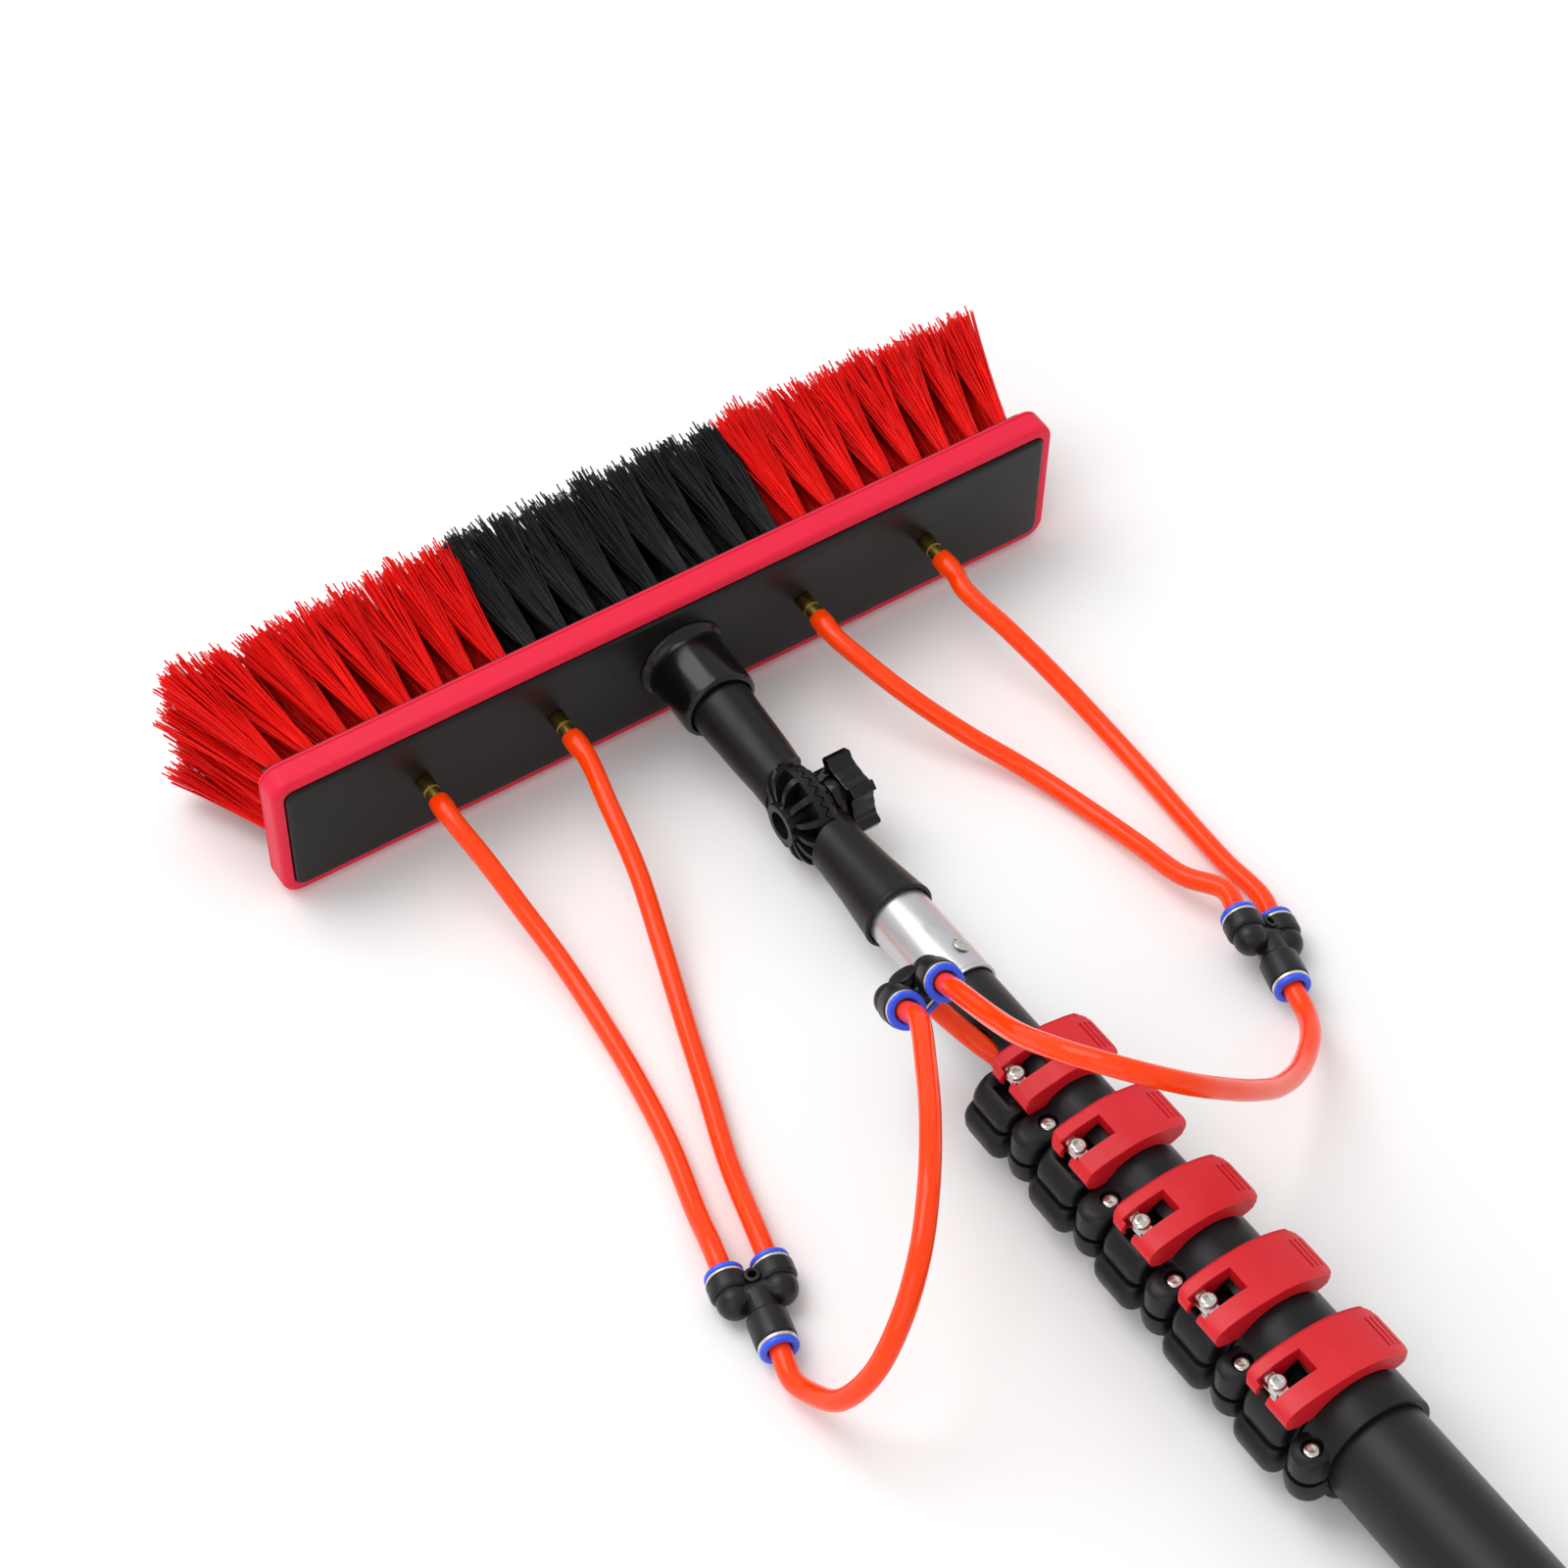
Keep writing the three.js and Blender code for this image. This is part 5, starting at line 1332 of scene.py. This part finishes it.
# The parts of one barrel, whose face is at height reach: body, bore, ring and release collar.
def barrelParts(reach, back):
    size = fittingSizes
    outer, collar, inner = size["barrelRadius"], size["collarRadius"], hoseRadius + 0.35
    top = reach - size["collarDepth"] - size["ringDepth"] - 0.15
    body = turned([
        (0, back), (outer - 1, back), (outer - 0.1, back + 1), (outer, top - 0.6),
        (outer - 0.5, top), (0, top),
    ], 0.5, 64)
    foot, wide = top - size["boreDepth"], hoseRadius + 1.3
    bore = turned([(0, foot), (wide, foot), (wide, top + 2), (0, top + 2)], 0.1, 48)
    ring = turned([
        (5.5, top + 0.02), (outer - 0.55, top + 0.02), (outer - 0.45, top + 0.3), (outer - 0.6, top + 1.1),
        (outer - 0.9, top + 1.3), (5.5, top + 1.3),
    ], 0.15, 64)
    release = turned([
        (inner, reach - 7), (5.1, reach - 7), (5.1, reach - 1.95), (collar - 0.2, reach - 1.95),
        (collar, reach - 1.5), (collar, reach - 0.6), (collar - 0.5, reach), (inner + 0.7, reach),
        (inner, reach - 0.8),
    ], 0.25, 64)
    return body, bore, painted(ring, 1), painted(release, 2)


def makeFitting(fitting):
    size = fittingSizes
    half = size["branchSpacing"] / 2
    stemTurn = Vector((0, 1, 0)).rotation_difference(fitting["ownStemWay"]).to_matrix().to_4x4()
    reach, stem = fitting["branch"], fitting["stem"]
    core = rod(size["waistRadius"] - 0.9, size["branchSpacing"], 48, 1.5, (0, 0, 0), "X")
    joins, cuts, extras = [], [], []
    places = [(Matrix.Translation((x, 0, 0)), reach, max(2.4, reach - 13)) for x in (-half, half)]
    places.append((stemTurn, stem, stem - 16 if stem > 20 else -1))
    for place, face, back in places:
        body, bore, ring, release = [inFrame(shape, place) for shape in barrelParts(face, back)]
        joins.append(body)
        cuts.append(bore)
        extras += [ring, release]
    for x in (-half, half):
        boss = bmesh.new()
        bmesh.ops.create_uvsphere(boss, u_segments=40, v_segments=24, radius=size["elbowRadius"])
        bmesh.ops.translate(boss, verts=boss.verts, vec=(x, 0, 0))
        joins.append(boss)
        joins.append(rod(size["waistRadius"], max(3, reach - 9), 48, 0.2, (x, max(3, reach - 9) / 2, 0)))
    joins.append(inFrame(rod(size["waistRadius"] - 0.4, stem - 4, 48, 0.3, (0, (stem - 4) / 2, 0)), stemTurn))
    if fitting["stem"] > 20:
        joins.append(rod(2.9, 11.6, 40, 0.25, (0, 5.4, 0), "Z"))
        cuts.append(rod(1.65, 20, 32, 0.05, (0, 5.4, 0), "Z"))
    else:
        joins.append(rod(6, 13.4, 48, 0.8, (0, -1, 1.2), "Z"))
        cuts.append(inFrame(hexSocket(5, 6, (0, 0, 0), "Z"), Matrix.Translation((0, -1, 7.9))))
    return joined(carved(core, joins, cuts), *extras)


for name, fitting in fittingPlaces.items():
    newPiece(
        f"{name}Fitting", makeFitting(fitting), fittingFinishes, "section_6", [f"hose_fitting_{name}"],
        fitting["frame"],
    )

connectorPlace = Matrix.Translation((coilX + 89, coilY + 90 + seatGap, connectorHeight))
grip, nose = 10, 8.6
step = 46 / 6
connectorShape = turned([
    (0, 0), (6.4, 0), (nose - 0.4, 0.6), (nose, 1.5), (nose, 2 * step - 1), (grip - 0.5, 2 * step - 0.2),
    (grip, 2 * step + 0.6), (grip, 3 * step - 0.6), (grip - 0.5, 3 * step + 0.2), (nose, 3 * step + 1),
    (nose, 4 * step - 1), (grip - 0.5, 4 * step - 0.2), (grip, 4 * step + 0.8), (grip, 45), (grip - 0.8, 46),
    (5.4, 46), (4.5, 45), (4.5, 28), (0, 28),
], 0.5, 96)
ribs = []
for i in range(24):
    rib = block((1.1, 16, 2.2), 0.5, (0, 4 * step + 7.6, grip + 0.55))
    ribs.append(inFrame(rib, Matrix.Rotation(2 * pi * i / 24, 4, "Y")))
connectorBody = carved(connectorShape, cuts=ribs)
connector = newPiece(
    "hoseConnector", connectorBody, "charcoalPbt", "section_1", ["hose_connector"], connectorPlace,
)
print("fittings made")
# Floor and light

studio = {"keyPower": 26, "fillPower": 10, "worldStrength": 0.75, "floorColour": "#F4F4F4"}


def lamp(name, place, size, power):
    data = bpy.data.lights.new(name, "AREA")
    data.size = size
    data.energy = power
    light = bpy.data.objects.new(name, data)
    scene.collection.objects.link(light)
    target = hinge / 1000
    light.location = target + Vector(place)
    light.rotation_euler = (-Vector(place)).to_track_quat("-Z", "Y").to_euler()


lamp("key", (-0.6, 0.9, 2.0), 1.6, studio["keyPower"])
lamp("fill", (-1.6, -1.2, 1.4), 1.8, studio["fillPower"])
world = bpy.data.worlds.new("studio")
scene.world = world
world.use_nodes = True
world.node_tree.nodes["Background"].inputs["Color"].default_value = (1, 1, 1, 1)
world.node_tree.nodes["Background"].inputs["Strength"].default_value = studio["worldStrength"]
floorShape = bmesh.new()
bmesh.ops.create_grid(floorShape, x_segments=1, y_segments=1, size=6000)
floorMesh = asMesh(floorShape, "floor")
floorMesh.transform(Matrix.Translation((0, 1, floorHeight / 1000 - 0.0005)) @ Matrix.Scale(0.001, 4))
floor = bpy.data.objects.new("floor", floorMesh)
scene.collection.objects.link(floor)
paper = bpy.data.materials.new("whitePaper")
paper.use_nodes = True
paper.node_tree.nodes["Principled BSDF"].inputs["Base Color"].default_value = linear(studio["floorColour"])
paper.node_tree.nodes["Principled BSDF"].inputs["Roughness"].default_value = 0.9
floorMesh.materials.append(paper)
scene.view_settings.view_transform = "Standard"
